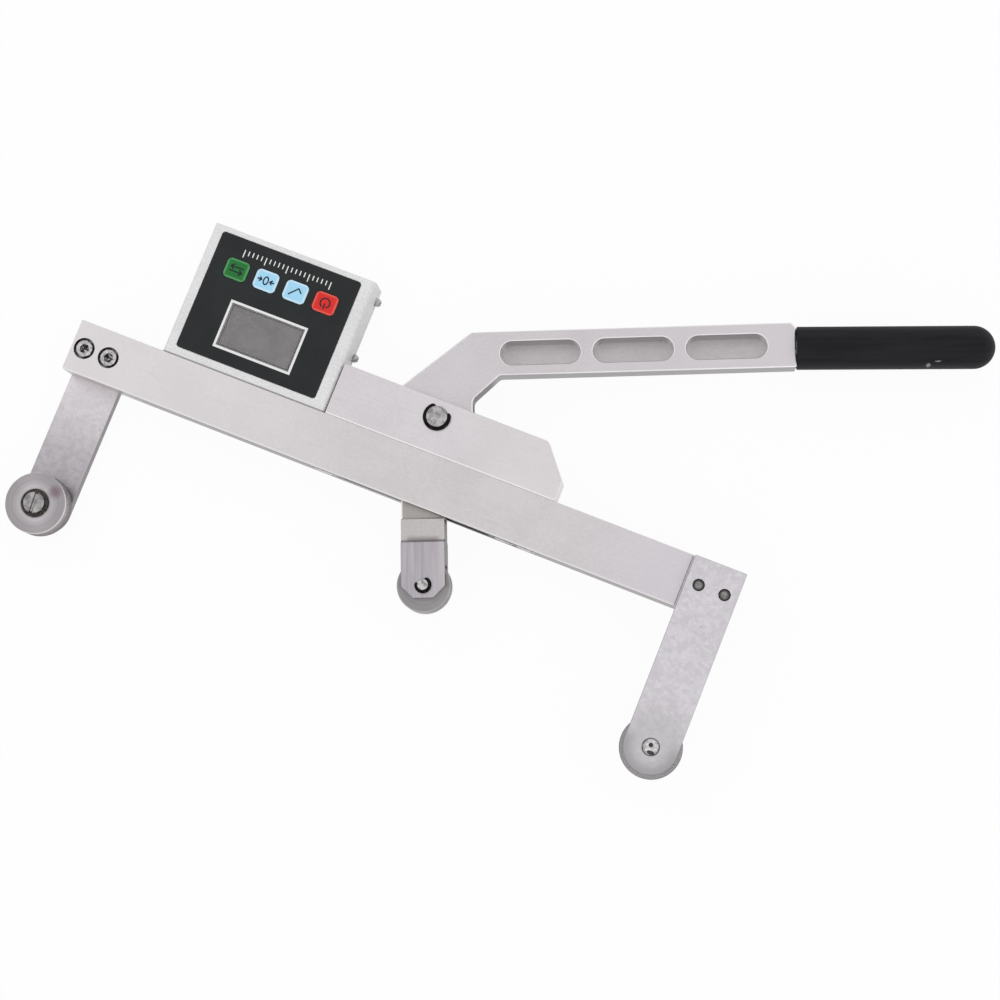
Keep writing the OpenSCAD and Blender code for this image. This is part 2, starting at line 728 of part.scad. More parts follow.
// Cove from the fork's web out to a cheek, front (1) or back (-1)
function fork_step(side) =
    let (r = min(cove_r, (cheek_t - web_t) / 2))
    let (points = arc([r - cheek_top, web_t / 2 + r], r, 270, 180))
    side > 0 ? points : [for (i = [len(points) - 1 : -1 : 0]) [points[i][0], -points[i][1]]];
module fork_screws() {
    color("dimgray") at_lever() at_fork_screws()
        cap_screw(fork_screw_d, fork_head_d, fork_head_h, fork_hex_w, fork_seat - shoulder + fork_thread);
}
module centre_roller() {
    color("gainsboro") at_fork_roller()
        grooved_roller(centre_d, centre_w, centre_pin_d + 2 * centre_bush_wall + 2 * press_gap);
}
module centre_roller_bush() {
    color("peru") at_fork_roller() translate([0, 0, -centre_w / 2])
        tube(centre_pin_d + 2 * centre_bush_wall, centre_pin_d + 2 * run_gap, centre_w);
}
module centre_pin() {
    color("lightgray") at_fork_roller() ringed_pin(centre_pin_d, centre_pin_d - centre_groove, cheek_t / 2);
}
module centre_pin_rings() {
    inside_d = centre_pin_d - centre_groove + 2 * press_gap;
    color("black") for (s = [0, 180]) at_fork_roller() rotate([0, s, 0])
        translate([0, 0, cheek_t / 2 + groove_gap / 2])
            gap_ring(centre_ring_d, inside_d, ring_t, centre_ring_gap, centre_ring_at);
}

// Outlines of the front sheet and of a key, grown by a gap
module sheet_shape(gap = 0) { round_rect(sheet_w + 2 * gap, sheet_h + 2 * gap, sheet_r + gap); }
module key_shape(gap = 0) { round_rect(key_w + 2 * gap, key_h + 2 * gap, key_r + gap); }

// Box with a bend of radius r between its front and its left and right sides
module bent_box(size, r) {
    difference() {
        cube(size);
        if (r > 0) for (right = [0, 1]) translate([right * size[0], -cut, size[2]]) mirror([right, 0, 0])
            rotate([-90, 0, 0]) linear_extrude(size[1] + 2 * cut) difference() {
                translate([-cut, -cut]) square(r + cut);
                translate([r, r]) circle(r);
            }
    }
}
module case_front() {
    inner = [case_w - 2 * case_wall, case_h - 2 * case_wall];
    color("whitesmoke") {
        difference() {
            translate([case_x0, beam_top, case_z0 + back_t])
                bent_box([case_w, case_h, case_d - back_t], bend_r);
            translate([case_x0 + case_wall, beam_top + case_wall, case_z0 - cut])
                bent_box([inner[0], inner[1], wall_in_z - case_z0 + cut], bend_r - case_wall);
            // Bed of the front sheet, display opening, key pockets
            translate([sheet_mid[0], sheet_mid[1], sheet_z])
                linear_extrude(cut) sheet_shape(slide_gap);
            translate([window_mid[0], window_mid[1], beam_t - case_wall])
                linear_extrude(4 * case_wall, center = true)
                    square([window_w - 2 * window_ledge, window_h - 2 * window_ledge], center = true);
            for (x = key_x) translate([x, key_y, 0]) {
                translate([0, 0, sheet_z - key_pocket]) linear_extrude(case_wall) key_shape(slide_gap);
                translate([0, 0, case_z0]) cylinder(d = key_stem_d + 4 * slide_gap, h = 2 * case_d);
            }
            at_side_screws() cylinder(d = side_screw_d + 4 * press_gap, h = 4 * case_wall, center = true);
            at_mount_screws() cylinder(d = mount_screw_d + pass_gap, h = 4 * case_wall, center = true);
            translate([case_mid[0], beam_top - cut, mid_z]) rotate([-90, 0, 0])
                cylinder(d = lead_d + 4 * side_gap, h = case_wall + 2 * cut);
        }
        at_posts() translate([0, 0, board_z1])
            tube(post_d, post_screw_d + 2 * press_gap, wall_in_z - board_z1);
    }
}
module case_back() {
    flange_h = case_h - 2 * case_wall - 2 * side_gap;
    color("whitesmoke") {
        translate([case_x0, beam_top, case_z0]) cube([case_w, case_h, back_t]);
        difference() {
            for (x = [case_x0 + case_wall + slide_gap, case_x1 - case_wall - slide_gap - flange_t])
                translate([x, beam_top + case_wall + side_gap, case_z0 + back_t / 2])
                    cube([flange_t, flange_h, flange_z1 - case_z0 - back_t / 2]);
            at_side_screws() cylinder(d = side_screw_d + 2 * press_gap, h = 8 * case_wall, center = true);
        }
    }
}
module case_side_screws() {
    length = case_wall + slide_gap + flange_t;
    color("gray") at_side_screws() pan_screw(side_screw_d, side_head_d, side_head_h, length);
}
module case_mount_screws() {
    color("gray") at_mount_screws()
        pan_screw(mount_screw_d, mount_head[0], mount_head[1], case_wall + mount_thread);
}

module overlay() {
    color([0.05, 0.05, 0.05]) translate([0, 0, sheet_z]) linear_extrude(sheet_t) difference() {
        translate(sheet_mid) sheet_shape();
        translate(window_mid) square([window_w, window_h], center = true);
        for (x = key_x) translate([x, key_y]) key_shape(slide_gap);
    }
}
module lcd_window() {
    color([0.6, 0.62, 0.6, 0.4]) translate([window_mid[0], window_mid[1], sheet_z])
        linear_extrude(sheet_t) square([window_w - slide_gap, window_h - slide_gap], center = true);
}
module lcd_module() {
    color("slategray") translate([window_mid[0], window_mid[1], 0]) {
        translate([0, 0, (board_z1 + wall_in_z - slide_gap) / 2])
            cube([window_w + lcd_border[0], window_h + lcd_border[1], board_drop - slide_gap],
                center = true);
        translate([0, 0, wall_in_z - slide_gap])
            translate([-window_w / 2 + 2 * window_ledge, -window_h / 2 + 2 * window_ledge, -cut])
                cube([window_w - 4 * window_ledge, window_h - 4 * window_ledge, sheet_z - wall_in_z + cut]);
    }
}
module circuit_board() {
    color("darkgreen") {
        difference() {
            translate([case_mid[0] - board_w / 2, case_mid[1] - board_h / 2, board_z0])
                cube([board_w, board_h, board_t]);
            at_posts() translate([0, 0, board_z0 - cut])
                cylinder(d = post_screw_d + pass_gap, h = board_t + 2 * cut);
        }
        // Socket of the gauge lead, and the processor between the middle switches
        translate([case_mid[0] - socket_size[0] / 2, socket_y, board_z0 - socket_size[2]])
            cube(socket_size + [0, 0, weld]);
        translate([case_mid[0] - chip_size[0] / 2, key_y - chip_size[1] / 2, board_z0 - chip_size[2]])
            cube(chip_size + [0, 0, weld]);
    }
}
module board_screws() {
    color("gray") at_posts() translate([0, 0, board_z0]) mirror([0, 0, 1])
        pan_screw(post_screw_d, post_head[0], post_head[1], board_t + board_drop - post_tip);
}
module key_switches() {
    color("dimgray") for (x = key_x) translate([x, key_y, board_z1]) difference() {
        translate([-switch_w / 2, -switch_w / 2, 0]) cube([switch_w, switch_w, switch_h]);
        translate([0, 0, switch_floor]) cylinder(d = key_stem_d + 2 * slide_gap, h = switch_h);
    }
}

// Key cap with its stem, which slides in the switch
module key(index) {
    stem_z = board_z1 + switch_floor + 2 * key_travel;
    cap_z = sheet_z - key_pocket + 1.6 * key_travel;
    translate([key_x[index], key_y, 0]) {
        translate([0, 0, cap_z]) linear_extrude(sheet_z + sheet_t + key_proud - cap_z) key_shape();
        translate([0, 0, stem_z]) cylinder(d = key_stem_d, h = cap_z - stem_z + weld);
    }
}
module unit_key() { color("green") key(0); }
module zero_key() { color("lightskyblue") key(1); }
module set_key() { color("lightskyblue") key(2); }
module power_key() { color("red") key(3); }

// Open frame on the back cover that holds two cells side by side
module battery_holder() {
    holder_h = cell_d * 0.7;
    color("black") translate([case_mid[0], cell_y, case_z0 + back_t])
        linear_extrude(holder_h) difference() {
            square(holder_size, center = true);
            for (s = [-1, 1])
                translate([0, s * (cell_bay[1] + holder_wall) / 2]) square(cell_bay, center = true);
        }
}
module batteries() {
    row = cell_bay[1] + holder_wall;
    color("steelblue") for (s = [-1, 1])
        translate([case_mid[0], cell_y + s * row / 2, cell_z]) rotate([0, s * 90, 0]) {
            translate([0, 0, -cell_l / 2]) cylinder(d = cell_d, h = cell_l - cell_nub[1]);
            cylinder(d = cell_nub[0], h = cell_l / 2);
        }
}
module strain_gauges() {
    color("goldenrod") for (s = [-1, 1])
        translate([case_mid[0] + s * gauge_shift, beam_top - gauge_depth + gauge_size[1] / 2, mid_z])
            cube(gauge_size, center = true);
}
module gauge_lead() {
    color("gray") translate([case_mid[0], beam_top - gauge_depth, mid_z]) rotate([-90, 0, 0])
        cylinder(d = lead_d, h = socket_y - beam_top + gauge_depth);
}

main_beam();
left_arm();
right_arm();
left_arm_screws();
right_arm_screws();
left_roller();
left_roller_bush();
left_axle();
left_axle_ring();
right_roller();
right_roller_bush();
right_axle();
right_axle_ring();
pivot_housing();
housing_screws();
pivot_pin();
pivot_rings();
lever();
lever_bush();
lever_grip();
roller_fork();
fork_screws();
centre_roller();
centre_roller_bush();
centre_pin();
centre_pin_rings();
case_front();
case_back();
case_side_screws();
case_mount_screws();
overlay();
lcd_window();
lcd_module();
circuit_board();
board_screws();
key_switches();
unit_key();
zero_key();
set_key();
power_key();
battery_holder();
batteries();
strain_gauges();
gauge_lead();
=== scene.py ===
# %% [markdown]
# Dressing a wire rope tension meter
#
# A tension meter of this kind hangs on a taut wire rope. Two outer rollers carry the rope, a lever
# presses a third roller against it half way between them, and gauges in the beam read the force.
# The CAD model gives every piece its shape and its joints. This lesson keeps that model as a fixed
# frame, rounds its sharp edges, gives each piece its own finish, and looks at it from above, as the
# instrument lies on a white table with its lever open.

# %% Load the model
import json
import math

import bmesh
import bpy
from mathutils import Matrix, Vector

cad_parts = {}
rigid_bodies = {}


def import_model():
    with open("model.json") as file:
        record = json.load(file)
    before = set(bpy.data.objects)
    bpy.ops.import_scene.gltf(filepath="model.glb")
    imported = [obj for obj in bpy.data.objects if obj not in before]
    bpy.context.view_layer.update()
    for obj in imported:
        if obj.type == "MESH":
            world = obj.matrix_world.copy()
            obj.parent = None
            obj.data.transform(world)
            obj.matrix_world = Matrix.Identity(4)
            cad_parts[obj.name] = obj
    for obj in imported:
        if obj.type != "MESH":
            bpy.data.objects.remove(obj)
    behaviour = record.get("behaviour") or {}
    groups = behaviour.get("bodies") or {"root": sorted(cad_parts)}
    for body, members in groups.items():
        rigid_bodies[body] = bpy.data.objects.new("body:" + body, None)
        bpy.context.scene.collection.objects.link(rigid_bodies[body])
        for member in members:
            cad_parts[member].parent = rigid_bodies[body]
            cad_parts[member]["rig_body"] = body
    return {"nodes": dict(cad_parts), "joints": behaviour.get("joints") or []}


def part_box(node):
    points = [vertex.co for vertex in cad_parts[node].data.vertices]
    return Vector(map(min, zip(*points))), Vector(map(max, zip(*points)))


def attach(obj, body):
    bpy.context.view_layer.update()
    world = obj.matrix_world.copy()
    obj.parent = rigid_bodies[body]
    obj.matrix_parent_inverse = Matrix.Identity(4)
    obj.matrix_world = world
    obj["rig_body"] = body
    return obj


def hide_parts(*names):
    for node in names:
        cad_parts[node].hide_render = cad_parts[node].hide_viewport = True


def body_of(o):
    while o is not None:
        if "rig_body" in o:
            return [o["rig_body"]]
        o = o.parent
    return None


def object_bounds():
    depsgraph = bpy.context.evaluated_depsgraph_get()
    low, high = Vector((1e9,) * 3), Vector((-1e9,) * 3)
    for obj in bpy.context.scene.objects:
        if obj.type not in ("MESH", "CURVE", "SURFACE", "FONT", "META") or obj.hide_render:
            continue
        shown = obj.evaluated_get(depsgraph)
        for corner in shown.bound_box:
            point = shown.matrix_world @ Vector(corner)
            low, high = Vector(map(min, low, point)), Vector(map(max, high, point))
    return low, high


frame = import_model()
cad_low, cad_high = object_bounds()
scene = bpy.context.scene
mm = 0.001
print("loaded", len(frame["nodes"]), "nodes")
print("CAD box in mm", [round(x / mm, 1) for x in [*cad_low, *cad_high]])

# %% [markdown]
# The camera stands about a metre above the table and leans a little towards the rollers and the
# grip. A camera can be aimed with a constraint, or its three axes can be written down. The axes are
# written here, because the picture is also turned by about 21 degrees round the line of sight.

# %% Camera
camera_data = bpy.data.cameras.new("table_camera")
camera_data.lens = 79.2
camera_data.sensor_width = 36
camera = bpy.data.objects.new("table_camera", camera_data)
scene.collection.objects.link(camera)
to_the_right = Vector((0.9266, 0.3690, -0.0724))
to_the_top = Vector((-0.3578, 0.9244, 0.1319))
to_the_eye = Vector((0.1156, -0.0963, 0.9886))
stand = Matrix((to_the_right, to_the_top, to_the_eye)).transposed().to_4x4()
stand.translation = (0.1663, -0.0936, 1.0192)
camera.matrix_world = stand
scene.camera = camera
scene.view_settings.view_transform = "Standard"
print("camera at", [round(x, 3) for x in camera.matrix_world.translation])

# %% [markdown]
# A finish is a network of shader nodes, and most of it is arithmetic: how far a spot lies from an
# edge, how much of a stain shows there. Wiring every Math node by hand hides that arithmetic, so one
# small class wraps a socket, and a sum written in Python adds its Math nodes by itself.

# %% Sums of sockets
def plug(tree, place, term):
    """Put a number, a colour or another node's output into a socket."""
    if isinstance(term, Reading):
        tree.links.new(term.socket, place)
    else:
        place.default_value = term


class Reading:
    """An output socket that can stand in a sum. Each operator adds one Math node."""

    def __init__(self, tree, socket):
        self.tree = tree
        self.socket = socket

    def work(self, operation, first, second=0.0):
        node = self.tree.nodes.new("ShaderNodeMath")
        node.operation = operation
        plug(self.tree, node.inputs[0], first)
        plug(self.tree, node.inputs[1], second)
        return Reading(self.tree, node.outputs[0])

    def __add__(self, other):
        return self.work("ADD", self, other)

    def __radd__(self, other):
        return self.work("ADD", other, self)

    def __sub__(self, other):
        return self.work("SUBTRACT", self, other)

    def __rsub__(self, other):
        return self.work("SUBTRACT", other, self)

    def __mul__(self, other):
        return self.work("MULTIPLY", self, other)

    def __rmul__(self, other):
        return self.work("MULTIPLY", other, self)

    def __truediv__(self, other):
        return self.work("DIVIDE", self, other)

    def __abs__(self):
        return self.work("ABSOLUTE", self)

    def larger(self, other):
        return self.work("MAXIMUM", self, other)

    def smaller(self, other):
        return self.work("MINIMUM", self, other)

    def sine(self):
        return self.work("SINE", self)

    def root(self):
        return self.work("SQRT", self)


print("sums of sockets ready")

# %% [markdown]
# Everything that isn't arithmetic, such as noise, cells or a bump, comes from one method. It takes
# the node's type, then its settings, then what goes into its sockets. The few helpers after it are
# the readings that nearly every finish of this instrument needs.

# %% The finish and its common readings
class Finish:
    """The node tree of a material or of the world, while it is being wired."""

    def __init__(self, owner):
        owner.use_nodes = True
        self.owner = owner
        self.tree = owner.node_tree

    def node(self, kind, settings=None, sockets=None, output=0):
        node = self.tree.nodes.new(kind)
        for name, value in (settings or {}).items():
            setattr(node, name, value)
        for name, value in (sockets or {}).items():
            plug(self.tree, node.inputs[name], value)
        return Reading(self.tree, node.outputs[output])

    def place(self):
        """Where a spot lies in its own piece, in metres."""
        return self.node("ShaderNodeTexCoord", output="Object")

    def along(self, vector, axis):
        """One part of a vector, X, Y or Z, as a number."""
        return self.node("ShaderNodeSeparateXYZ", sockets={"Vector": vector}, output=axis)

    def stretched(self, vector, scale):
        return self.node("ShaderNodeVectorMath", {"operation": "MULTIPLY"}, {0: vector, 1: scale})

    def noise(self, vector, scale, detail):
        sockets = {"Vector": vector, "Scale": scale, "Detail": detail}
        return self.node("ShaderNodeTexNoise", sockets=sockets)

    def rise(self, value, start, end):
        """0 below start, 1 above end, and a smooth step between them."""
        sockets = {"Value": value, "From Min": start, "From Max": end}
        return self.node("ShaderNodeMapRange", {"interpolation_type": "SMOOTHSTEP"}, sockets)

    def mix(self, share, first, second):
        """A colour between two colours."""
        return self.node("ShaderNodeMix", {"data_type": "RGBA"}, {0: share, 6: first, 7: second}, 2)

    def bump(self, height, depth, strength):
        sockets = {"Height": height, "Distance": depth, "Strength": strength}
        return self.node("ShaderNodeBump", sockets=sockets)

    def turned_back(self, vector, degrees):
        """A place as seen by a piece that stands turned by so many degrees round its upright axis."""
        sockets = {"Vector": vector, "Angle": -math.radians(degrees)}
        return self.node("ShaderNodeVectorRotate", {"rotation_type": "Z_AXIS"}, sockets)

    def contrast(self, value, spread):
        """0 to 1 across the middle of a noise. The smaller the spread, the harder its two tones."""
        return self.rise(value, 0.5 - spread, 0.5 + spread)

    def within(self, value, start, end, soft):
        """1 between start and end, with soft borders."""
        begun = self.rise(value, start - soft, start + soft)
        ended = self.rise(value, end - soft, end + soft)
        return begun * (1 - ended)

    def flatness(self):
        """1 on the front and back of a piece that lies flat, 0 on its upright sides."""
        normal = self.node("ShaderNodeTexCoord", output="Normal")
        return abs(self.along(normal, "Z"))

    def sides(self, steep=0.25, flat=0.75):
        """1 on the upright sides, 0 on front and back."""
        return 1 - self.rise(self.flatness(), steep, flat)

    def edges(self, steep=0.34, flat=0.94, soft=0.05):
        """1 on the rounded edges between front and sides."""
        return self.within(self.flatness(), steep, flat, soft)

    def surface(self, sockets):
        shader = self.tree.nodes["Principled BSDF"]
        for name, value in sockets.items():
            plug(self.tree, shader.inputs[name], value)
        return self


def distance(x, y):
    """How far a spot lies from a point, given how far it lies along X and along Y."""
    return (x * x + y * y).root()


def satin(noise):
    """The roughness of a satin surface, a little uneven."""
    return 0.36 + 0.12 * noise


def seen(red, green, blue):
    """A colour given as it looks on a screen, from 0 to 255, for a socket that counts light."""
    shares = [part / 255 for part in (red, green, blue)]
    light = [x / 12.92 if x <= 0.04045 else ((x + 0.055) / 1.055) ** 2.4 for x in shares]
    return (*light, 1)


def new_finish(name):
    return Finish(bpy.data.materials.new(name))


print("mid grey counts as", [round(x, 3) for x in seen(128, 128, 128)])

# %% [markdown]
# The instrument lies on a pale table in soft light from all round. A floor that is lit to pure white
# would also wash out the metal. Here the floor is white only for what looks straight at it or mirrors
# it, and a part of its own shading stays, so it still shows a soft shadow.

# %% Floor
floor_half = 3.0
floor_z = cad_low.z - 0.1 * mm
floor_glow = 0.94
square = [(-1, -1), (1, -1), (1, 1), (-1, 1)]
white = (1, 1, 1, 1)


def looked_at(finish):
    """1 for light that goes to the camera, to a mirror image or through glass."""
    to_camera = finish.node("ShaderNodeLightPath", output="Is Camera Ray")
    to_mirror = finish.node("ShaderNodeLightPath", output="Is Glossy Ray")
    through_glass = finish.node("ShaderNodeLightPath", output="Is Transmission Ray")
    return to_camera.larger(to_mirror).larger(through_glass)


floor_mesh = bpy.data.meshes.new("floor")
floor_points = [(x * floor_half, y * floor_half, floor_z) for x, y in square]
floor_mesh.from_pydata(floor_points, [], [(0, 1, 2, 3)])
floor = bpy.data.objects.new("floor", floor_mesh)
scene.collection.objects.link(floor)

pale = new_finish("pale_table")
grain = pale.noise(pale.place(), 60, 3)
table_tone = pale.mix(grain, seen(238, 238, 238), seen(243, 243, 243))
pale.surface({"Base Color": table_tone, "Roughness": 0.9})
glow = pale.node("ShaderNodeEmission", sockets={"Color": white, "Strength": 1.0})
shade = Reading(pale.tree, pale.tree.nodes["Principled BSDF"].outputs[0])
both = pale.node("ShaderNodeMixShader", sockets={0: looked_at(pale) * floor_glow, 1: shade, 2: glow})
pale.tree.links.new(both.socket, pale.tree.nodes["Material Output"].inputs["Surface"])
floor_mesh.materials.append(pale.owner)
print("floor at", round(floor_z / mm, 2), "mm")

# %% [markdown]
# What the metal mirrors is a room with white walls, a little darker overhead, and with one dark curtain
# beyond the readout. Flat fronts mirror the ceiling and rounded edges the walls, so most edges show as
# fine bright lines, and those that face the curtain as dark ones. A photograph of a room could be
# wrapped round the scene for this, but a few zones by direction are enough, and they need no file.

# %% Sky
wall_tone = (0.92, 0.92, 0.92, 1)
ceiling_tone = (0.86, 0.86, 0.86, 1)
curtain_tone = (0.4, 0.4, 0.41, 1)
fill_tone = (0.9, 0.9, 0.91, 1)
past_readout = (-0.8, 0.6, 0)

world = bpy.data.worlds.new("studio")
scene.world = world
sky = Finish(world)
direction = sky.node("ShaderNodeTexCoord", output="Generated")
height = sky.along(direction, "Z")
walls = sky.mix(sky.rise(height, 0.35, 0.9), wall_tone, ceiling_tone)
towards = sky.node(
    "ShaderNodeVectorMath", {"operation": "DOT_PRODUCT"}, {0: direction, 1: past_readout}, "Value")
curtain = sky.rise(towards, 0.55, 0.85) * (1 - sky.rise(height, 0.35, 0.75))
room = sky.mix(curtain, walls, curtain_tone)
straight = sky.node("ShaderNodeLightPath", output="Is Camera Ray")
shown = sky.mix(straight, room, white)
sky_colour = sky.mix(looked_at(sky), fill_tone, shown)
plug(sky.tree, sky.tree.nodes["Background"].inputs["Color"], sky_colour)
print("sky:", len(sky.tree.nodes), "nodes")

# %% [markdown]
# Three soft boxes stand round the table: the main one to the left, a long one in front of the
# rollers, and a small one beyond the grip. They are low and weak, so the flat fronts see little of them
# from any side, and the rounded edges catch them as thin bright lines, as on the real aluminium.

# %% Soft boxes
def soft_box(name, at, aim, width, height, power):
    data = bpy.data.lights.new(name, "AREA")
    data.shape = "RECTANGLE"
    data.size = width
    data.size_y = height
    data.energy = power
    lamp = bpy.data.objects.new(name, data)
    lamp.location = at
    lamp.rotation_euler = (Vector(aim) - Vector(at)).to_track_quat("-Z", "Y").to_euler()
    scene.collection.objects.link(lamp)


table_middle = (0.05, 0.0, 0.0)
soft_box("left_box", (-0.75, 0.35, 0.75), table_middle, 0.5, 0.5, 0.6)
soft_box("front_box", (0.10, -0.95, 0.45), table_middle, 0.8, 0.25, 0.3)
soft_box("right_box", (0.95, 0.10, 0.55), table_middle, 0.35, 0.35, 0.25)

# %% [markdown]
# A machined edge is never quite sharp: it is broken by a file or by blasting, and that narrow band is
# what catches the light. The CAD nodes have sharp edges and may not be changed, so each visible piece
# is copied, its flat triangles are joined again into flats, and a Bevel modifier rounds the outer
# edges. Inner corners, such as the foot of a pocket's wall, stay sharp, so each edge carries a weight
# of its own. A Weighted Normal modifier then keeps the large flats flat in the light. The copy can have
# its own zero point, such as a roller's axis or the lever's pivot.

# %% Copies with rounded edges
weld_within = 0.002 * mm
flat_within = math.radians(0.5)
sharp_from = math.radians(32)
flat_weight = 90


def dress(node, finish, edge, steps=2, zero=(0, 0, 0)):
    """A copy of a CAD node, edges rounded by edge millimetres, that stands for the node."""
    source = frame["nodes"][node].data
    shape = bmesh.new()
    points = [shape.verts.new(v.co - Vector(zero)) for v in source.vertices]
    for polygon in source.polygons:
        shape.faces.new([points[i] for i in polygon.vertices])
    bmesh.ops.remove_doubles(shape, verts=shape.verts, dist=weld_within)
    bmesh.ops.dissolve_limit(shape, angle_limit=flat_within, verts=shape.verts, edges=shape.edges)
    shape.normal_update()
    weight = shape.edges.layers.float.new("bevel_weight_edge")
    for line in shape.edges:
        if line.calc_face_angle(0) > sharp_from:
            line[weight] = 1 if line.is_convex else 0
            line.smooth = line.is_convex
    mesh = bpy.data.meshes.new(node + "_dressed")
    shape.to_mesh(mesh)
    shape.free()
    mesh.shade_smooth()
    mesh.materials.append(finish.owner)
    piece = bpy.data.objects.new(node + "_dressed", mesh)
    piece.location = zero
    scene.collection.objects.link(piece)
    bevel = piece.modifiers.new("broken_edges", "BEVEL")
    bevel.width = edge * mm
    bevel.segments = steps
    bevel.limit_method = "WEIGHT"
    bevel.use_clamp_overlap = False
    bevel.loop_slide = False
    flats = piece.modifiers.new("flat_light", "WEIGHTED_NORMAL")
    flats.weight = flat_weight
    flats.keep_sharp = True
    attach(piece, body_of(frame["nodes"][node])[0])
    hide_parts(node)
    return piece


def paint(node, finish):
    """Give a CAD node that keeps its own shape a finish."""
    data = frame["nodes"][node].data
    data.materials.clear()
    data.materials.append(finish.owner)


def middle(node):
    low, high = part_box(node)
    return (low + high) / 2


def size(node):
    low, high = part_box(node)
    return high - low


# %% [markdown]
# Beam and housing are aluminium bars, blasted with fine beads to a pale, slightly warm silver. A flat
# grey would look like plastic. The finish has three scales: blast grain as a bump, soft clouds from
# handling, and faint lines along the bar from rolling. The broken edges get a painted highlight, a
# bright colour where they round off. These readings come first, because lever and fork share them.

# %% Blasted aluminium
def bar_tone(finish, place, light, dark):
    """Colour of a blasted face, with clouds, grain and rolling lines along X."""
    clouds = finish.noise(place, 42, 4)
    fine = finish.noise(place, 800, 3)
    drawn = finish.noise(finish.stretched(place, (14, 900, 900)), 1.0, 2)
    tone = finish.contrast(clouds * 0.45 + fine * 0.4 + drawn * 0.15, 0.14)
    return finish.mix(tone, dark, light)


def blasted(finish, place, colour):
    """Bare metal with the grain that fine beads leave."""
    fine = finish.noise(place, 620, 3)
    grit = finish.noise(place, 2600, 2)
    finish.surface({
        "Base Color": colour,
        "Metallic": 1.0,
        "Roughness": satin(fine),
        "Normal": finish.bump(grit, 0.02 * mm, 0.35)})


# Painted highlight: the bright colour of the rounded edges.
edge_highlight_colour = seen(250, 248, 248)
# Painted shade inside the slots.
slot_shade_colour = seen(44, 42, 42)
print("blasted aluminium ready")

# %% [markdown]
# The beam's sawn sides carry painted shade, darkest by the fork, and the slots that the lever passes
# through are painted black as shade. Each bar's front is painted paler towards one end as painted
# light, and it has a painted highlight along its lower edge. Towards its far end the front is a little
# cooler. The housing is a piece of its own, slightly paler, with painted shade on its sides and painted
# highlights on the facets at both ends. The zones lie along X. A pair of places is where a soft border
# starts and ends. Only by_fork is a whole zone, with borders as soft as by_fork_soft. The slots repeat
# the sizes that the CAD cuts.

# %% Beam and housing
cool_end = (60 * mm, 160 * mm)
slot_shade_deepens = (0, 22 * mm)
side_shade_fade = (-146 * mm, -122 * mm)
by_fork = (30 * mm, 66 * mm)
by_fork_soft = 13 * mm
left_facet = (-42 * mm, -39 * mm)
right_facet = (60 * mm, 80 * mm)
beam_slot = {"from": -26.8 * mm, "to": 49.8 * mm, "half": 4.3 * mm, "round": 4.3 * mm}
housing_slot = {"from": -15.0 * mm, "to": 24.9 * mm, "half": 6.3 * mm, "round": 0.0}


def in_slot(finish, place, slot):
    """1 inside a bar's slot, whose ends are round or square, and on a hair's breadth round it."""
    half_length = (slot["to"] - slot["from"]) / 2
    off_x = abs(finish.along(place, "X") - (slot["from"] + slot["to"]) / 2)
    off_z = abs(finish.along(place, "Z") - middle("main_beam").z)
    past_end = (off_x - (half_length - slot["round"])).larger(0.0)
    past_side = (off_z - (slot["half"] - slot["round"])).larger(0.0)
    outside = distance(past_end, past_side) - slot["round"]
    return 1 - finish.rise(outside, 0.05 * mm, 0.4 * mm)


def bar_aluminium(name, light, dark, side_shading, lit_paler, low_y, edge_highlight_share, slot):
    """A blasted bar: side_shading paints shade and highlights on its sides, lit_paler is where its
    front is painted paler as light, edge_highlight_share is its painted edge highlight, and its slot
    gets painted shade.
    """
    finish = new_finish(name)
    place = finish.place()
    x = finish.along(place, "X")
    front = bar_tone(finish, place, light, dark)
    # Painted light: the front gets paler towards one end.
    front = finish.mix(finish.rise(x, *lit_paler) * 0.35, front, seen(238, 234, 235))
    front = finish.mix(finish.rise(x, *cool_end) * 0.6, front, seen(226, 220, 230))
    # Painted highlight along the front's lower edge.
    near_edge = 1 - finish.rise(finish.along(place, "Y"), low_y + 0.6 * mm, low_y + 1.0 * mm)
    front = finish.mix(near_edge * edge_highlight_share, front, seen(252, 250, 250))
    streaks = finish.noise(finish.stretched(place, (60, 700, 60)), 1.0, 2)
    front = finish.mix(finish.rise(streaks, 0.66, 0.76) * 0.2, front, seen(190, 186, 187))
    # Painted light and shade on the sides, and a painted highlight on the rounded edges.
    faces = finish.mix(finish.sides(), front, side_shading(finish, x))
    faces = finish.mix(finish.edges() * 0.85, faces, edge_highlight_colour)
    # Painted shade in the slot, darkest past its middle.
    slot_shade_share = 0.45 + 0.5 * finish.rise(x, *slot_shade_deepens)
    blasted(finish, place, finish.mix(in_slot(finish, place, slot) * slot_shade_share, faces, slot_shade_colour))
    return finish


# Painted shade on the beam's sides: paler towards the far left, darkest by the fork.
def beam_side_shading(finish, x):
    side_gradient = finish.mix(finish.rise(x, *side_shade_fade), seen(206, 201, 202), seen(154, 150, 150))
    return finish.mix(finish.within(x, *by_fork, by_fork_soft), side_gradient, seen(66, 63, 63))


# Painted shade on the housing's sides and a painted highlight on the facets at both ends.
def housing_side_shading(finish, x):
    ends = finish.rise(x, *right_facet).larger(1 - finish.rise(x, *left_facet))
    return finish.mix(ends, seen(172, 168, 169), seen(246, 243, 244))


beam_finish = bar_aluminium(
    "beam_aluminium", seen(223, 218, 219), seen(214, 209, 210), beam_side_shading,
    (20 * mm, -110 * mm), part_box("main_beam")[0].y, 0.3, beam_slot)
housing_finish = bar_aluminium(
    "housing_aluminium", seen(227, 222, 225), seen(219, 214, 217), housing_side_shading,
    (-10 * mm, 65 * mm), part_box("pivot_housing")[0].y, 0.75, housing_slot)
main_beam = dress("main_beam", beam_finish, 0.35)
pivot_housing = dress("pivot_housing", housing_finish, 0.35)
print("beam", len(main_beam.data.polygons), "flats; housing", len(pivot_housing.data.polygons))
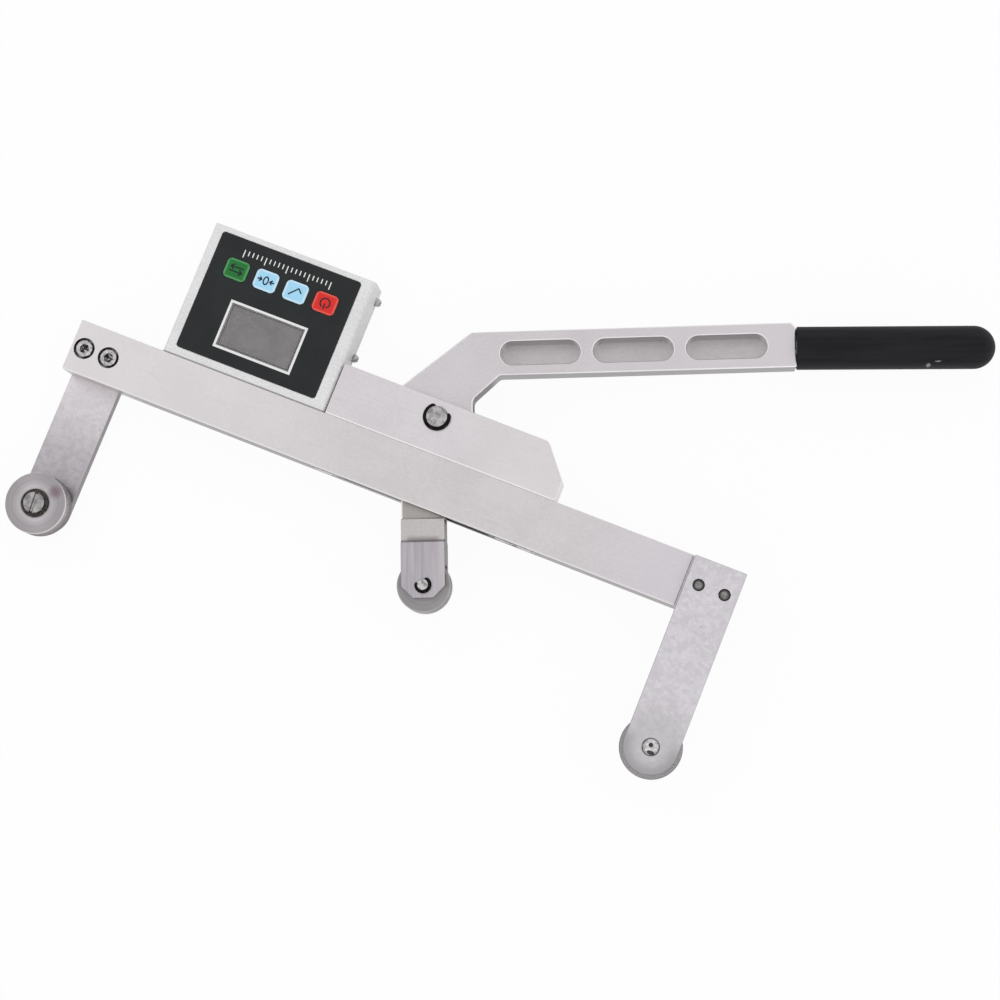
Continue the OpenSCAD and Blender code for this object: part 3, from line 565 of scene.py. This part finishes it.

# %% [markdown]
# The lever is cut from one plate. Its handle has three round-ended pockets, milled to save weight, and
# the cutter leaves their floors duller than the blasted front, which the hand has polished towards the
# grip. The pockets' straight walls carry painted shade, and their round ends a painted highlight. The
# stem that reaches down through the beam is painted darker and warm, as painted shade under the beam.
# By the pivot the sides carry painted shade, darkest at the neck where the lever enters the housing,
# and the tang inside the grip is dark. The rounded edges carry a painted highlight. These zones are
# told apart by where a spot lies on the lever, so its copy takes the pivot as zero point, and the
# finish turns the place back by the opening angle.

# %% Lever
joints = {joint["name"]: joint for joint in frame["joints"]}
pivot_at = Vector(joints["lever_pivot"]["pos_m"])
open_angle = -joints["lever_pivot"]["range_deg"][0]
handle_middle = 29.7 * mm
handle_end = 166.7 * mm
hand_polish = (40 * mm, 170 * mm)
below_front = (4.7 * mm, 5.6 * mm)
stem_top = (-30 * mm, -22 * mm)
pockets_from = (26 * mm, 29 * mm)
pocket_half = (5.9 * mm, 6.5 * mm)
pivot_shade_from_x = (8 * mm, 12 * mm)
pivot_shade_to_y = (15 * mm, 18 * mm)
neck_y = (4 * mm, 8 * mm)


def lever_sides(finish, x, y):
    """Colour of the upright sides: pocket walls with painted shade and painted highlights, painted
    shade by the pivot and at the neck, and plain cut plate.
    """
    facing = finish.turned_back(finish.node("ShaderNodeTexCoord", output="Normal"), open_angle)
    round_end = finish.rise(abs(finish.along(facing, "X")), 0.4, 0.75)
    # Painted shade on the pockets' straight walls and a painted highlight on their round ends.
    pocket_wall_shading = finish.mix(round_end, seen(204, 200, 201), seen(240, 237, 238))
    # Painted shade on the sides by the pivot, darkest at the neck where the lever enters the housing.
    pivot_shade = finish.rise(x, *pivot_shade_from_x) * (1 - finish.rise(y, *pivot_shade_to_y))
    neck_shade = finish.mix(finish.rise(y, *neck_y), seen(40, 38, 40), seen(118, 114, 116))
    cut_side = finish.mix(pivot_shade, seen(162, 159, 160), neck_shade)
    in_row = 1 - finish.rise(abs(y - handle_middle), *pocket_half)
    return finish.mix(in_row * finish.rise(x, *pockets_from), cut_side, pocket_wall_shading)


def lever_aluminium():
    finish = new_finish("lever_aluminium")
    place = finish.turned_back(finish.place(), open_angle)
    x = finish.along(place, "X")
    y = finish.along(place, "Y")
    front = bar_tone(finish, place, seen(220, 215, 218), seen(212, 207, 210))
    front = finish.mix(finish.rise(x, *hand_polish) * 0.6, front, seen(224, 219, 223))
    milled = bar_tone(finish, place, seen(210, 206, 207), seen(200, 196, 197))
    # Painted shade: the stem under the beam is darker and warm.
    shaded_stem = bar_tone(finish, place, seen(190, 187, 183), seen(178, 175, 171))
    sunk = 1 - finish.rise(abs(finish.along(place, "Z")), *below_front)
    below_pivot = 1 - finish.rise(y, *stem_top)
    faces = finish.mix(sunk, front, finish.mix(below_pivot, milled, shaded_stem))
    faces = finish.mix(finish.sides(), faces, lever_sides(finish, x, y))
    # Painted highlight on the rounded edges.
    faces = finish.mix(finish.edges() * 0.9, faces, seen(253, 251, 251))
    on_tang = finish.rise(x, handle_end + 0.05 * mm, handle_end + 0.15 * mm)
    blasted(finish, place, finish.mix(on_tang, faces, seen(40, 38, 40)))
    return finish


dress("lever", lever_aluminium(), 0.9, 3, pivot_at)
print("lever opens by", round(open_angle, 1), "degrees")

# %% [markdown]
# The fork is milled from bar of the same metal. Its web is as pale as the beam, its two cheeks carry
# faint lines along the fork from the cutter and are brighter towards one side, and the cove between
# cheeks and web carries a band of painted shade. The cove's place comes from the CAD: it ends a few
# millimetres below the fork's shoulder.

# %% Fork
cove_y = -57.9 * mm
fork_x = -7.5 * mm
bright_half = (fork_x + 2 * mm, fork_x + 9 * mm)
cove_shade_reach = (5.5 * mm, 9.5 * mm)
outer_side = (9.6 * mm, 9.9 * mm)


def fork_aluminium():
    finish = new_finish("fork_aluminium")
    place = finish.turned_back(finish.place(), open_angle)
    x = finish.along(place, "X")
    y = finish.along(place, "Y")
    off_middle = abs(x - fork_x)
    web = bar_tone(finish, place, seen(210, 205, 205), seen(200, 195, 195))
    lines = finish.noise(finish.stretched(place, (650, 25, 650)), 1.0, 3)
    cheek = finish.mix(finish.contrast(lines, 0.15), seen(178, 173, 179), seen(196, 191, 196))
    cheek = finish.mix(finish.rise(x, *bright_half) * 0.35, cheek, seen(214, 209, 212))
    faces = finish.mix(finish.rise(y, cove_y - 0.3 * mm, cove_y + 0.1 * mm), cheek, web)
    # Painted shade in the cove between cheeks and web.
    reach = 1 - finish.rise(off_middle, *cove_shade_reach)
    painted_shade = finish.within(y, cove_y + 0.2 * mm, cove_y + 2.4 * mm, 1.2 * mm) * reach
    upright = finish.sides() * finish.rise(off_middle, *outer_side)
    sides = finish.mix(upright, faces, seen(106, 103, 105))
    blasted(finish, place, finish.mix(painted_shade * 0.65, sides, seen(126, 122, 124)))
    return finish


roller_fork = dress("roller_fork", fork_aluminium(), 0.3, 2, pivot_at)
print("fork", len(roller_fork.data.polygons), "flats")

# %% [markdown]
# The two arms are steel plates with a zinc skin. Zinc freezes in small grains that mirror the light
# differently, which reads as a faint mottle with a few dark specks. Smooth Voronoi cells give the
# grains, each with one random brightness that runs into its neighbours, and noise adds larger clouds.
# The plates' edges carry painted shade, the left plate has painted shade towards its roller, both are a
# little darker round the axle, the right one more so, and both carry painted shade at their round tips.

# %% Arms
roller_shade_y = (-62 * mm, -4 * mm)
near_axle_out = (10 * mm, 24 * mm)
tip_out = (5.5 * mm, 12 * mm)
tip_up = (-2 * mm, 7 * mm)


def darker_round_tip(finish, place, front, roller_shade_share):
    """The front's colour, darker round the axle, with painted shade at the arm's round tip."""
    off_x = abs(finish.along(place, "X")) - middle("right_axle").x
    off_y = finish.along(place, "Y") - middle("right_axle").y
    out = distance(off_x, off_y)
    near_axle = (1 - finish.rise(out, *near_axle_out)) * (1 - roller_shade_share)
    front = finish.mix(near_axle * 0.35, front, seen(178, 175, 178))
    # Painted shade towards the arm's round tip.
    tip = finish.rise(out, *tip_out) * (1 - finish.rise(off_y, *tip_up))
    return finish.mix(tip * 0.8, front, seen(168, 165, 168))


def zinc(name, light, dark, side, roller_shade_share):
    """A zinc skin in two tones. roller_shade_share is the share of painted shade towards its roller."""
    finish = new_finish(name)
    place = finish.place()
    in_cells = {"Vector": place, "Scale": 620, "Smoothness": 0.8}
    cells = finish.node("ShaderNodeTexVoronoi", {"feature": "SMOOTH_F1"}, in_cells, "Color")
    grain = finish.along(cells, "X")
    fine = finish.noise(place, 1300, 3)
    clouds = finish.noise(place, 120, 4)
    tone = finish.contrast(grain * 0.35 + fine * 0.45 + clouds * 0.2, 0.26)
    front = finish.mix(tone, dark, light)
    # Painted shade towards the roller.
    roller_shade = 1 - finish.rise(finish.along(place, "Y"), *roller_shade_y)
    roller_shade_colour = finish.mix(tone, seen(158, 153, 158), seen(180, 175, 180))
    front = finish.mix(roller_shade * roller_shade_share, front, roller_shade_colour)
    front = darker_round_tip(finish, place, front, roller_shade_share)
    spots = finish.node("ShaderNodeTexVoronoi", {"feature": "F1"}, {"Vector": place, "Scale": 95})
    speck = (1 - finish.rise(spots, 0.03, 0.075)) * finish.rise(clouds, 0.48, 0.54)
    marked = finish.mix(speck * 0.5, front, seen(110, 105, 106))
    # The upright sides carry painted shade.
    finish.surface({
        "Base Color": finish.mix(finish.sides(0.55, 0.97), marked, side),
        "Metallic": 1.0,
        "Roughness": satin(grain),
        "Normal": finish.bump(fine + grain * 0.5, 0.02 * mm, 0.4)})
    return finish


left_zinc = zinc("left_arm_zinc", seen(238, 233, 237), seen(223, 218, 222), seen(140, 136, 139), 0.8)
right_zinc = zinc("right_arm_zinc", seen(229, 225, 230), seen(211, 207, 212), seen(142, 138, 142), 0.0)
left_arm = dress("left_arm", left_zinc, 0.4)
right_arm = dress("right_arm", right_zinc, 0.4)
print("arms", len(left_arm.data.polygons), "and", len(right_arm.data.polygons), "flats")

# %% [markdown]
# Rollers, axles and pins come off a lathe. The tool leaves fine rings round the axis, and these give
# turned metal its fan of light and dark. The rings are a bump that depends only on the distance from
# the axis, so each turned piece has its own zero point there, and the shader stretches its highlights
# across them. Each rim's colour is painted light, bright as a painted highlight on some pieces and dark
# as painted shade on others, and a roller can carry a band of painted shade at its rim. The left roller
# has a painted sheen round its axle and a faint purple painted reflection. The pins' ends are blotchy
# where the tool was drawn off, and one of them carries a dark painted reflection from its middle
# downwards.

# %% Turned steel
ring_pitch = 0.25 * mm
hub_sheen_reach = (7 * mm, 12 * mm)
rim_shade_band = 1.8 * mm
out_of_reach = 1.0
purple_reflection_at = (6.9 * mm, 8.2 * mm)
purple_reflection_size = 3.8 * mm
blot_at = (-0.3 * mm, 0.8 * mm)
blot_drop_at = (0.9 * mm, -2.4 * mm)
dark_reflection_edge = (1.4 * mm, 1.9 * mm)


def purple_reflection(finish, x, y):
    """1 in the middle of a painted purple reflection, 0 outside it."""
    off_x = (x - purple_reflection_at[0]) / purple_reflection_size
    off_y = (y - purple_reflection_at[1]) / purple_reflection_size
    return 1 - finish.rise(distance(off_x, off_y), 0.2, 1.2)


def dark_reflection(finish, x, y, ragged):
    """1 on a dark painted reflection: a blot at the middle and a flat drop below it."""
    upper_blot = distance(x - blot_at[0], y - blot_at[1]) * 1.2
    drop_x = x - blot_drop_at[0]
    drop_y = y - blot_drop_at[1]
    drop = (drop_x * drop_x * 0.5 + drop_y * drop_y * 1.6).root()
    return 1 - finish.rise(drop.smaller(upper_blot) + ragged, *dark_reflection_edge)


def turned(
        name, light, dark, rim, blotch, *,
        rim_shade_from=out_of_reach, shade_on_upper_half=1.0, rim_shade_share=1.0, hub_sheen=0.0, mark=0.0, purple_reflection_share=0.0):
    """Turned metal: its two tones, its rim's painted light, and shares of blotches, painted shade at
    the rim, a painted sheen round the hub, a dark painted reflection and a purple painted reflection.
    """
    finish = new_finish(name)
    place = finish.place()
    x = finish.along(place, "X")
    y = finish.along(place, "Y")
    radius = distance(x, y)
    rings = (radius * (math.tau / ring_pitch)).sine()
    chatter = finish.noise(place, 480, 3)
    bands = finish.noise(finish.node("ShaderNodeCombineXYZ", sockets={"X": radius * 700}), 1.0, 2)
    tone = finish.contrast(bands * (1 - blotch) + chatter * blotch, 0.14)
    # Painted sheen round the hub.
    sheen_round_hub = (1 - finish.rise(radius, *hub_sheen_reach)) * hub_sheen
    face = finish.mix(sheen_round_hub, finish.mix(tone, dark, light), seen(224, 219, 222))
    # The rim's colour is painted light: bright as a painted highlight on some pieces, dark as painted
    # shade on others.
    colour = finish.mix(finish.sides(0.4, 0.95), face, rim)
    # Painted shade in a band at the rim, on the lower half and, as far as set, on the upper half.
    underside = 1 - finish.rise(finish.along(place, "Z"), -1 * mm, 1 * mm)
    painted_shade = finish.rise(radius, rim_shade_from, rim_shade_from + rim_shade_band) * underside.larger(shade_on_upper_half)
    colour = finish.mix(painted_shade * rim_shade_share, colour, seen(118, 115, 116))
    # A faint purple painted reflection.
    colour = finish.mix(purple_reflection(finish, x, y) * purple_reflection_share, colour, seen(124, 88, 106))
    # A dark painted reflection on a pin's end.
    dark_reflection_spot = dark_reflection(finish, x, y, chatter * (0.8 * mm)) * mark
    finish.surface({
        "Base Color": finish.mix(dark_reflection_spot, colour, seen(30, 28, 28)),
        "Metallic": 1.0,
        "Roughness": satin(chatter),
        "Anisotropic": 0.9,
        "Anisotropic Rotation": 0.25,
        "Normal": finish.bump(rings, 0.01 * mm, 0.25)})
    return finish


print("rings every", round(ring_pitch / mm, 2), "mm")

# %% [markdown]
# The three rollers differ most in their rims: the left one's carries a painted highlight, the right
# one's painted shade, and the small one in the fork is duller all over. The pins get a finish each,
# because their ends are what the eye finds first. The painted shade at a roller's rim starts where its
# face meets the rim.

# %% Rollers, axles and pins
rim_from = 13 * mm
turned_pieces = [
    ("left_roller", "roller_steel", 0.8, 3, turned(
        "turned_left_roller", seen(181, 176, 179), seen(171, 166, 169), seen(230, 226, 228), 0.2,
        rim_shade_from=rim_from, shade_on_upper_half=0.0, hub_sheen=0.65, purple_reflection_share=0.6)),
    ("right_roller", "roller_steel", 0.8, 3, turned(
        "turned_right_roller", seen(206, 202, 205), seen(196, 192, 195), seen(124, 120, 122), 0.2,
        rim_shade_from=rim_from, rim_shade_share=0.6)),
    ("centre_roller", "roller_steel", 0.8, 3, turned(
        "turned_small_roller", seen(170, 168, 168), seen(160, 158, 158), seen(196, 194, 194), 0.2)),
    ("left_axle", "pin_steel", 0.25, 2, turned(
        "turned_slotted_pin", seen(190, 187, 187), seen(146, 143, 144), seen(120, 118, 118), 0.9)),
    ("right_axle", "pin_steel", 0.25, 2, turned(
        "turned_pin_dark_reflection", seen(246, 244, 244), seen(190, 187, 187), seen(180, 177, 177), 0.9,
        mark=0.9)),
    ("pivot_pin", "pin_steel", 0.7, 2, turned(
        "turned_pivot_pin", seen(208, 205, 206), seen(148, 145, 146), seen(232, 229, 230), 0.9)),
    ("centre_pin", "pin_steel", 0.2, 2, turned(
        "turned_pin", seen(230, 228, 228), seen(154, 151, 152), seen(150, 147, 148), 0.9))]
for node, slot, edge, steps, finish in turned_pieces:
    dress(node, finish, edge, steps, middle(node))
print("left roller is", round(size("left_roller").x / mm, 2), "mm across")

# %% [markdown]
# Screws and retaining rings are bought parts. The cap screws are plated, and what lies deeper than the
# head's top or near its rim carries painted shade, with a few painted glints. The screws of the right
# arm show only their ends, flush with the plate: a dark thread round a paler middle. The rings are
# blackened steel, and on the axles the black is worn.

# %% Screws, rings and bushes
cap_rim = (3.5 * mm, 4.0 * mm)
cap_depth = (0.35 * mm, 0.9 * mm)
thread_out = (1.5 * mm, 2.4 * mm)


def plated(finish, light, dark, rough, sunk=0.0, sunk_colour=(0, 0, 0, 1)):
    """Plated steel with a little wear, and another colour where sunk is 1."""
    place = finish.place()
    wear = finish.noise(place, 700, 4)
    fine = finish.noise(place, 3000, 2)
    face = finish.mix(finish.contrast(wear, 0.15), dark, light)
    finish.surface({
        "Base Color": finish.mix(sunk, face, sunk_colour),
        "Metallic": 1.0,
        "Roughness": rough + 0.15 * wear,
        "Normal": finish.bump(fine, 0.01 * mm, 0.4)})
    return finish


def from_axis(finish, place, node):
    """Distance from the nearer axis of two equal upright screws that stand side by side along X."""
    half_pitch = (size(node).x - size(node).y) / 2
    x = abs(finish.along(place, "X") - middle(node).x) - half_pitch
    y = finish.along(place, "Y") - middle(node).y
    return distance(x, y)


def cap_screw():
    finish = new_finish("cap_screw")
    place = finish.place()
    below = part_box("left_arm_screws")[1].z - finish.along(place, "Z")
    # Painted glints, and painted shade in the socket and in the ring round the head.
    painted_glint = finish.rise(finish.noise(place, 900, 2), 0.5, 0.58)
    rim = finish.rise(from_axis(finish, place, "left_arm_screws"), *cap_rim)
    socket = finish.mix(painted_glint, seen(62, 60, 61), seen(188, 184, 184))
    recess_shading = finish.mix(rim, socket, finish.mix(painted_glint, seen(44, 42, 43), seen(124, 121, 122)))
    sunk = finish.rise(below, *cap_depth).larger(rim)
    return plated(finish, seen(214, 211, 211), seen(168, 165, 165), 0.24, sunk, recess_shading)


def thread_end():
    finish = new_finish("thread_end")
    place = finish.place()
    ragged = finish.noise(place, 900, 2) * (0.8 * mm)
    ring = finish.rise(from_axis(finish, place, "right_arm_screws") + ragged, *thread_out)
    return plated(finish, seen(164, 161, 161), seen(126, 123, 124), 0.34, ring, seen(90, 88, 87))


screw_finish = plated(new_finish("plated_screw"), seen(206, 203, 204), seen(160, 157, 158), 0.22)
black_ring = plated(new_finish("blackened_ring"), seen(40, 38, 40), seen(24, 23, 25), 0.4)
worn_ring = plated(new_finish("worn_ring"), seen(84, 79, 77), seen(56, 53, 52), 0.34)
bush_finish = plated(new_finish("oiled_bronze"), seen(150, 136, 118), seen(122, 110, 96), 0.36)
dress("left_arm_screws", cap_screw(), 0.3, 3)
dress("right_arm_screws", thread_end(), 0.3, 2)
dress("case_side_screws", screw_finish, 0.2, 2)
for node in ("left_axle_ring", "right_axle_ring"):
    dress(node, worn_ring, 0.15, 2)
for node in ("pivot_rings", "centre_pin_rings"):
    dress(node, black_ring, 0.15, 2)
for node in ("housing_screws", "fork_screws", "case_mount_screws", "board_screws"):
    paint(node, screw_finish)
for node in ("left_roller_bush", "right_roller_bush", "centre_roller_bush", "lever_bush"):
    paint(node, bush_finish)
print("screws, rings and bushes dressed")

# %% [markdown]
# The grip is a tube of soft black vinyl, dipped and pulled over the tang. It has faint streaks along
# its length from dipping and two pale scuffs near its end. The streaks are a noise that is stretched
# along the handle, and the scuffs are small patches that a second noise breaks up. Each scuff is given
# by its place from the pivot and by half its length and height, in millimetres.

# %% Grip
scuffs = ((226.7, 18.6, 1.6, 0.8), (231.0, 19.9, 2.2, 0.4))


def vinyl():
    finish = new_finish("dipped_vinyl")
    place = finish.turned_back(finish.place(), open_angle)
    x = finish.along(place, "X")
    y = finish.along(place, "Y")
    streak = finish.noise(finish.stretched(place, (25, 420, 420)), 1.0, 3)
    dust = finish.noise(place, 1100, 4)
    tone = finish.rise(streak * 0.7 + dust * 0.3, 0.3, 0.75)
    body = finish.mix(tone, seen(25, 24, 28), seen(38, 37, 41))
    front_only = finish.rise(finish.along(place, "Z"), 0, 2 * mm)
    for at_x, at_y, half_length, half_height in scuffs:
        off_x = (x - at_x * mm) / (half_length * mm)
        off_y = (y - at_y * mm) / (half_height * mm)
        rubbed = 1 - finish.rise(distance(off_x, off_y) + dust * 1.2, 1.0, 1.5)
        body = finish.mix(rubbed * front_only * 0.7, body, seen(160, 159, 162))
    finish.surface({
        "Base Color": body,
        "Roughness": 0.45 + 0.2 * dust,
        "Specular IOR Level": 0.12,
        "Normal": finish.bump(streak + dust * 0.6, 0.06 * mm, 0.5)})
    return finish


grip = dress("lever_grip", vinyl(), 0.6, 3, pivot_at)
print("grip", len(grip.data.polygons), "flats")

# %% [markdown]
# The case is a folded sheet box with pale grey powder paint. Its folds are part of the CAD, so the copy
# only softens the cut edges. The paint's surface has the small waves known as orange peel, and along
# its foot, where the case stands on the beam, runs a thin line of painted shade.

# %% Case
def powder_paint():
    finish = new_finish("powder_paint")
    place = finish.place()
    peel = finish.noise(place, 1000, 3)
    clouds = finish.noise(place, 60, 3)
    tone = finish.contrast(clouds * 0.3 + peel * 0.7, 0.14)
    colour = finish.mix(tone, seen(218, 217, 217), seen(233, 232, 232))
    foot_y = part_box("case_front")[0].y
    # Painted shade along the foot, where the case meets the beam.
    painted_shade = 1 - finish.rise(finish.along(place, "Y"), foot_y + 0.3 * mm, foot_y + 0.9 * mm)
    finish.surface({
        "Base Color": finish.mix(painted_shade * 0.8, colour, seen(126, 125, 126)),
        "Roughness": 0.42 + 0.1 * peel,
        "Normal": finish.bump(peel, 0.03 * mm, 0.4)})
    return finish


case_paint = powder_paint()
case_front = dress("case_front", case_paint, 0.14, 2)
dress("case_back", case_paint, 0.25, 2)
print("case", len(case_front.data.polygons), "flats")

# %% [markdown]
# The front sheet is a printed plastic film, black with a fine matt grain. The display lies behind a
# clear window in it. The window is a thin hazy plate, so the grey display shows through it.

# %% Front sheet and display
display_row = 0.5 * mm


def film():
    finish = new_finish("black_film")
    place = finish.place()
    grain = finish.noise(place, 1500, 3)
    clouds = finish.noise(place, 70, 2)
    tone = finish.contrast(grain * 0.5 + clouds * 0.5, 0.2)
    finish.surface({
        "Base Color": finish.mix(tone, seen(33, 36, 37), seen(41, 44, 45)),
        "Roughness": 0.45 + 0.15 * grain,
        "Specular IOR Level": 0.2,
        "Normal": finish.bump(grain, 0.02 * mm, 0.35)})
    return finish


def display_glass():
    finish = new_finish("display_glass")
    place = finish.place()
    smear = finish.noise(finish.stretched(place, (160, 60, 60)), 1.0, 3)
    finish.surface({
        "Base Color": seen(120, 118, 120),
        "Roughness": 0.1 + 0.12 * smear,
        "Alpha": 0.22 + 0.1 * smear})
    return finish


def display_grey():
    finish = new_finish("display_grey")
    place = finish.place()
    clouds = finish.noise(place, 110, 3)
    rows = (finish.along(place, "Y") * (math.tau / display_row)).sine()
    tone = finish.contrast(clouds + rows * 0.05, 0.2)
    finish.surface({
        "Base Color": finish.mix(tone, seen(166, 161, 162), seen(184, 179, 180)),
        "Roughness": 0.5 + 0.1 * clouds})
    return finish


dress("overlay", film(), 0.12, 2)
dress("lcd_window", display_glass(), 0.1, 2)
paint("lcd_module", display_grey())
print("front sheet", [round(x / mm, 2) for x in size("overlay")], "mm")

# %% [markdown]
# Print on the sheet is a few hundredths of a millimetre of ink. It could be painted into the film's
# colour, but as thin raised pieces its edges stay sharp at any distance. Every mark here is a stroke:
# a line of points with a width, filled with small quads and rounded at its ends. Each face lies a hair
# above the one before, so that two faces never share one plane.

# %% Strokes of ink
ink_rise = 0.03 * mm
ink_step = 0.001 * mm
cap_corners = 12


def ribbon(shape, points, width):
    """Add one stroke to a mesh: a quad for each piece of the line and a round cap at each point."""
    path = [Vector(p) for p in points]
    outlines = []
    for start, end in zip(path, path[1:]):
        across = (end - start).orthogonal().normalized() * (width / 2)
        outlines.append([start + across, start - across, end - across, end + across])
    turns = [math.tau * i / cap_corners for i in range(cap_corners)]
    spokes = [Vector((math.cos(t), math.sin(t))) * (width / 2) for t in turns]
    outlines += [[point + spoke for spoke in spokes] for point in path]
    for outline in outlines:
        z = ink_rise + len(shape.faces) * ink_step
        face = shape.faces.new([shape.verts.new((p.x, p.y, z)) for p in outline])
        face.normal_update()
        if face.normal.z < 0:
            face.normal_flip()


def print_mark(name, shape, at, finish, body):
    """Put a flat mark on the point at, and let it ride on a body."""
    mesh = bpy.data.meshes.new(name)
    shape.to_mesh(mesh)
    shape.free()
    mesh.materials.append(finish.owner)
    piece = bpy.data.objects.new(name, mesh)
    piece.location = at
    scene.collection.objects.link(piece)
    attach(piece, body)


def strokes_of(lines, width):
    """Strokes of one width, given in millimetres."""
    shape = bmesh.new()
    for points in lines:
        ribbon(shape, [(x * mm, y * mm) for x, y in points], width * mm)
    return shape


def ink_finish(name, full, thin):
    finish = new_finish(name)
    wear = finish.noise(finish.place(), 1600, 3)
    colour = finish.mix(finish.rise(wear, 0.35, 0.7), full, thin)
    finish.surface({"Base Color": colour, "Roughness": 0.45 + 0.1 * wear, "Specular IOR Level": 0.25})
    return finish


white_ink = ink_finish("white_ink", seen(240, 240, 238), seen(224, 224, 222))
dark_ink = ink_finish("dark_ink", seen(24, 26, 34), seen(40, 44, 54))
print("two inks")

# %% [markdown]
# A white line frames the display, and a row of plain scale marks fills the upper edge of the sheet. The
# frame is a flat ring between two rectangles, and each scale mark is one stroke.

# %% Frame of the display and scale marks
frame_inside = 0.1 * mm
frame_outside = 1.25 * mm
mark_pitch = 2.2
mark_top = 1.4
mark_width = 0.5
long_mark = 3.4
short_mark = 2.0
marks_below_edge = 6.4 * mm

body_name = body_of(frame["nodes"]["overlay"])[0]
sheet_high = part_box("overlay")[1]
window_half = size("lcd_window") / 2
frame_shape = bmesh.new()
rings = []
for grow in (frame_inside, frame_outside):
    reach_x = window_half.x + grow
    reach_y = window_half.y + grow
    rings.append([frame_shape.verts.new((x * reach_x, y * reach_y, ink_rise)) for x, y in square])
for i in range(4):
    frame_shape.faces.new([rings[0][i], rings[1][i], rings[1][(i + 1) % 4], rings[0][(i + 1) % 4]])
bmesh.ops.recalc_face_normals(frame_shape, faces=frame_shape.faces)
on_sheet = Vector((middle("lcd_window").x, middle("lcd_window").y, sheet_high.z))
print_mark("display_frame", frame_shape, on_sheet, white_ink, body_name)

marks = []
for number in range(-10, 11):
    mark_x = number * mark_pitch
    length = long_mark if number % 5 == 0 else short_mark
    marks.append([(mark_x, mark_top - length), (mark_x, mark_top)])
marks_at = Vector((middle("overlay").x, sheet_high.y - marks_below_edge, sheet_high.z))
print_mark("scale_marks", strokes_of(marks, mark_width), marks_at, white_ink, body_name)
print("scale marks:", len(marks))

# %% [markdown]
# The four keys are soft caps in green, pale blue and red with a paler moulded rim. The rim is painted
# by the distance from the cap's own middle. Each key carries a plain sign that says what it does, and
# the signs stand upside down here, because the user reads the display from the lever's side.

# %% Keys
def key_cap(name, colour, rim):
    finish = new_finish(name)
    place = finish.place()
    out_x = abs(finish.along(place, "X")) / (size("unit_key").x / 2)
    out_y = abs(finish.along(place, "Y")) / (size("unit_key").y / 2)
    edge = finish.rise(out_x.larger(out_y), 0.76, 0.9)
    grain = finish.noise(place, 900, 2)
    shade_of_cap = finish.mix(grain * 0.12, colour, rim)
    finish.surface({
        "Base Color": finish.mix(edge * 0.55, shade_of_cap, rim),
        "Roughness": satin(grain),
        "Specular IOR Level": 0.25,
        "Normal": finish.bump(grain, 0.03 * mm, 0.3)})
    return finish


green_cap = key_cap("green_cap", seen(22, 108, 42), seen(104, 180, 116))
blue_cap = key_cap("blue_cap", seen(160, 216, 245), seen(232, 245, 252))
red_cap = key_cap("red_cap", seen(215, 34, 28), seen(240, 112, 98))


def arc(radius, start, end, steps=20):
    turns = [math.radians(start + (end - start) * i / steps) for i in range(steps + 1)]
    return [(radius * math.cos(t), radius * math.sin(t)) for t in turns]


swap_sign = [[(-3.1, 1.1), (3.1, 1.1)], [(-1.6, 2.3), (-3.1, 1.1), (-1.6, -0.1)],
             [(-3.1, -1.1), (3.1, -1.1)], [(1.6, 0.1), (3.1, -1.1), (1.6, -2.3)]]
zero_sign = [[(1.1 * x, 1.9 * y) for x, y in arc(1, 0, 360)],
             [(-4.0, 0), (-2.1, 0)], [(-3.0, 0.9), (-2.1, 0), (-3.0, -0.9)],
             [(4.0, 0), (2.1, 0)], [(3.0, 0.9), (2.1, 0), (3.0, -0.9)]]
tick_sign = [[(2.8, 0.2), (1.0, 2.0), (-2.8, -2.0)]]
power_sign = [arc(2.3, -60, 240), [(0, -2.8), (0, -0.4)]]
sign_width = 0.65
keys = [("unit_key", "key_green", green_cap, swap_sign), ("zero_key", "key_blue", blue_cap, zero_sign),
        ("set_key", "key_blue", blue_cap, tick_sign), ("power_key", "key_red", red_cap, power_sign)]
for node, slot, cap, sign in keys:
    at = middle(node)
    dress(node, cap, 0.22, 2, at)
    top = Vector((at.x, at.y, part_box(node)[1].z))
    key_body = body_of(frame["nodes"][node])[0]
    print_mark(node + "_sign", strokes_of(sign, sign_width), top, dark_ink, key_body)
print("keys", [round(middle(k[0]).x / mm, 2) for k in keys])

# %% [markdown]
# Inside the case sit the circuit board, its switches, two cells in their holder and the gauges on the
# beam. They don't show from outside, but each gets the finish of what it is, so that the instrument
# can be opened or cut in a drawing.

# %% Inner pieces
track_pitch = 1.27 * mm


def board_finish():
    finish = new_finish("circuit_board")
    place = finish.place()
    tracks_x = (finish.along(place, "X") * (math.tau / track_pitch)).sine()
    tracks_y = (finish.along(place, "Y") * (math.tau / (2 * track_pitch))).sine()
    tracks = finish.rise(tracks_x.larger(tracks_y), 0.75, 0.9)
    finish.surface({
        "Base Color": finish.mix(tracks, seen(22, 84, 48), seen(44, 116, 70)),
        "Roughness": 0.4 - 0.1 * tracks,
        "Normal": finish.bump(tracks, 0.03 * mm, 0.4)})
    return finish


def moulded(name, dark, light, rough, scale=600):
    finish = new_finish(name)
    grain = finish.noise(finish.place(), scale, 3)
    finish.surface({
        "Base Color": finish.mix(finish.contrast(grain, 0.2), dark, light),
        "Roughness": rough + 0.12 * grain,
        "Normal": finish.bump(grain, 0.02 * mm, 0.3)})
    return finish


paint("circuit_board", board_finish())
paint("key_switches", moulded("switch_black", seen(30, 30, 32), seen(44, 44, 46), 0.4))
paint("battery_holder", moulded("holder_black", seen(28, 28, 30), seen(42, 42, 44), 0.45))
paint("batteries", moulded("cell_sleeve", seen(70, 96, 130), seen(96, 124, 158), 0.3, 200))
paint("strain_gauges", moulded("gauge_foil", seen(188, 142, 70), seen(214, 172, 100), 0.35, 1400))
paint("gauge_lead", moulded("lead_grey", seen(112, 112, 114), seen(134, 134, 136), 0.5))
print("inner pieces painted")
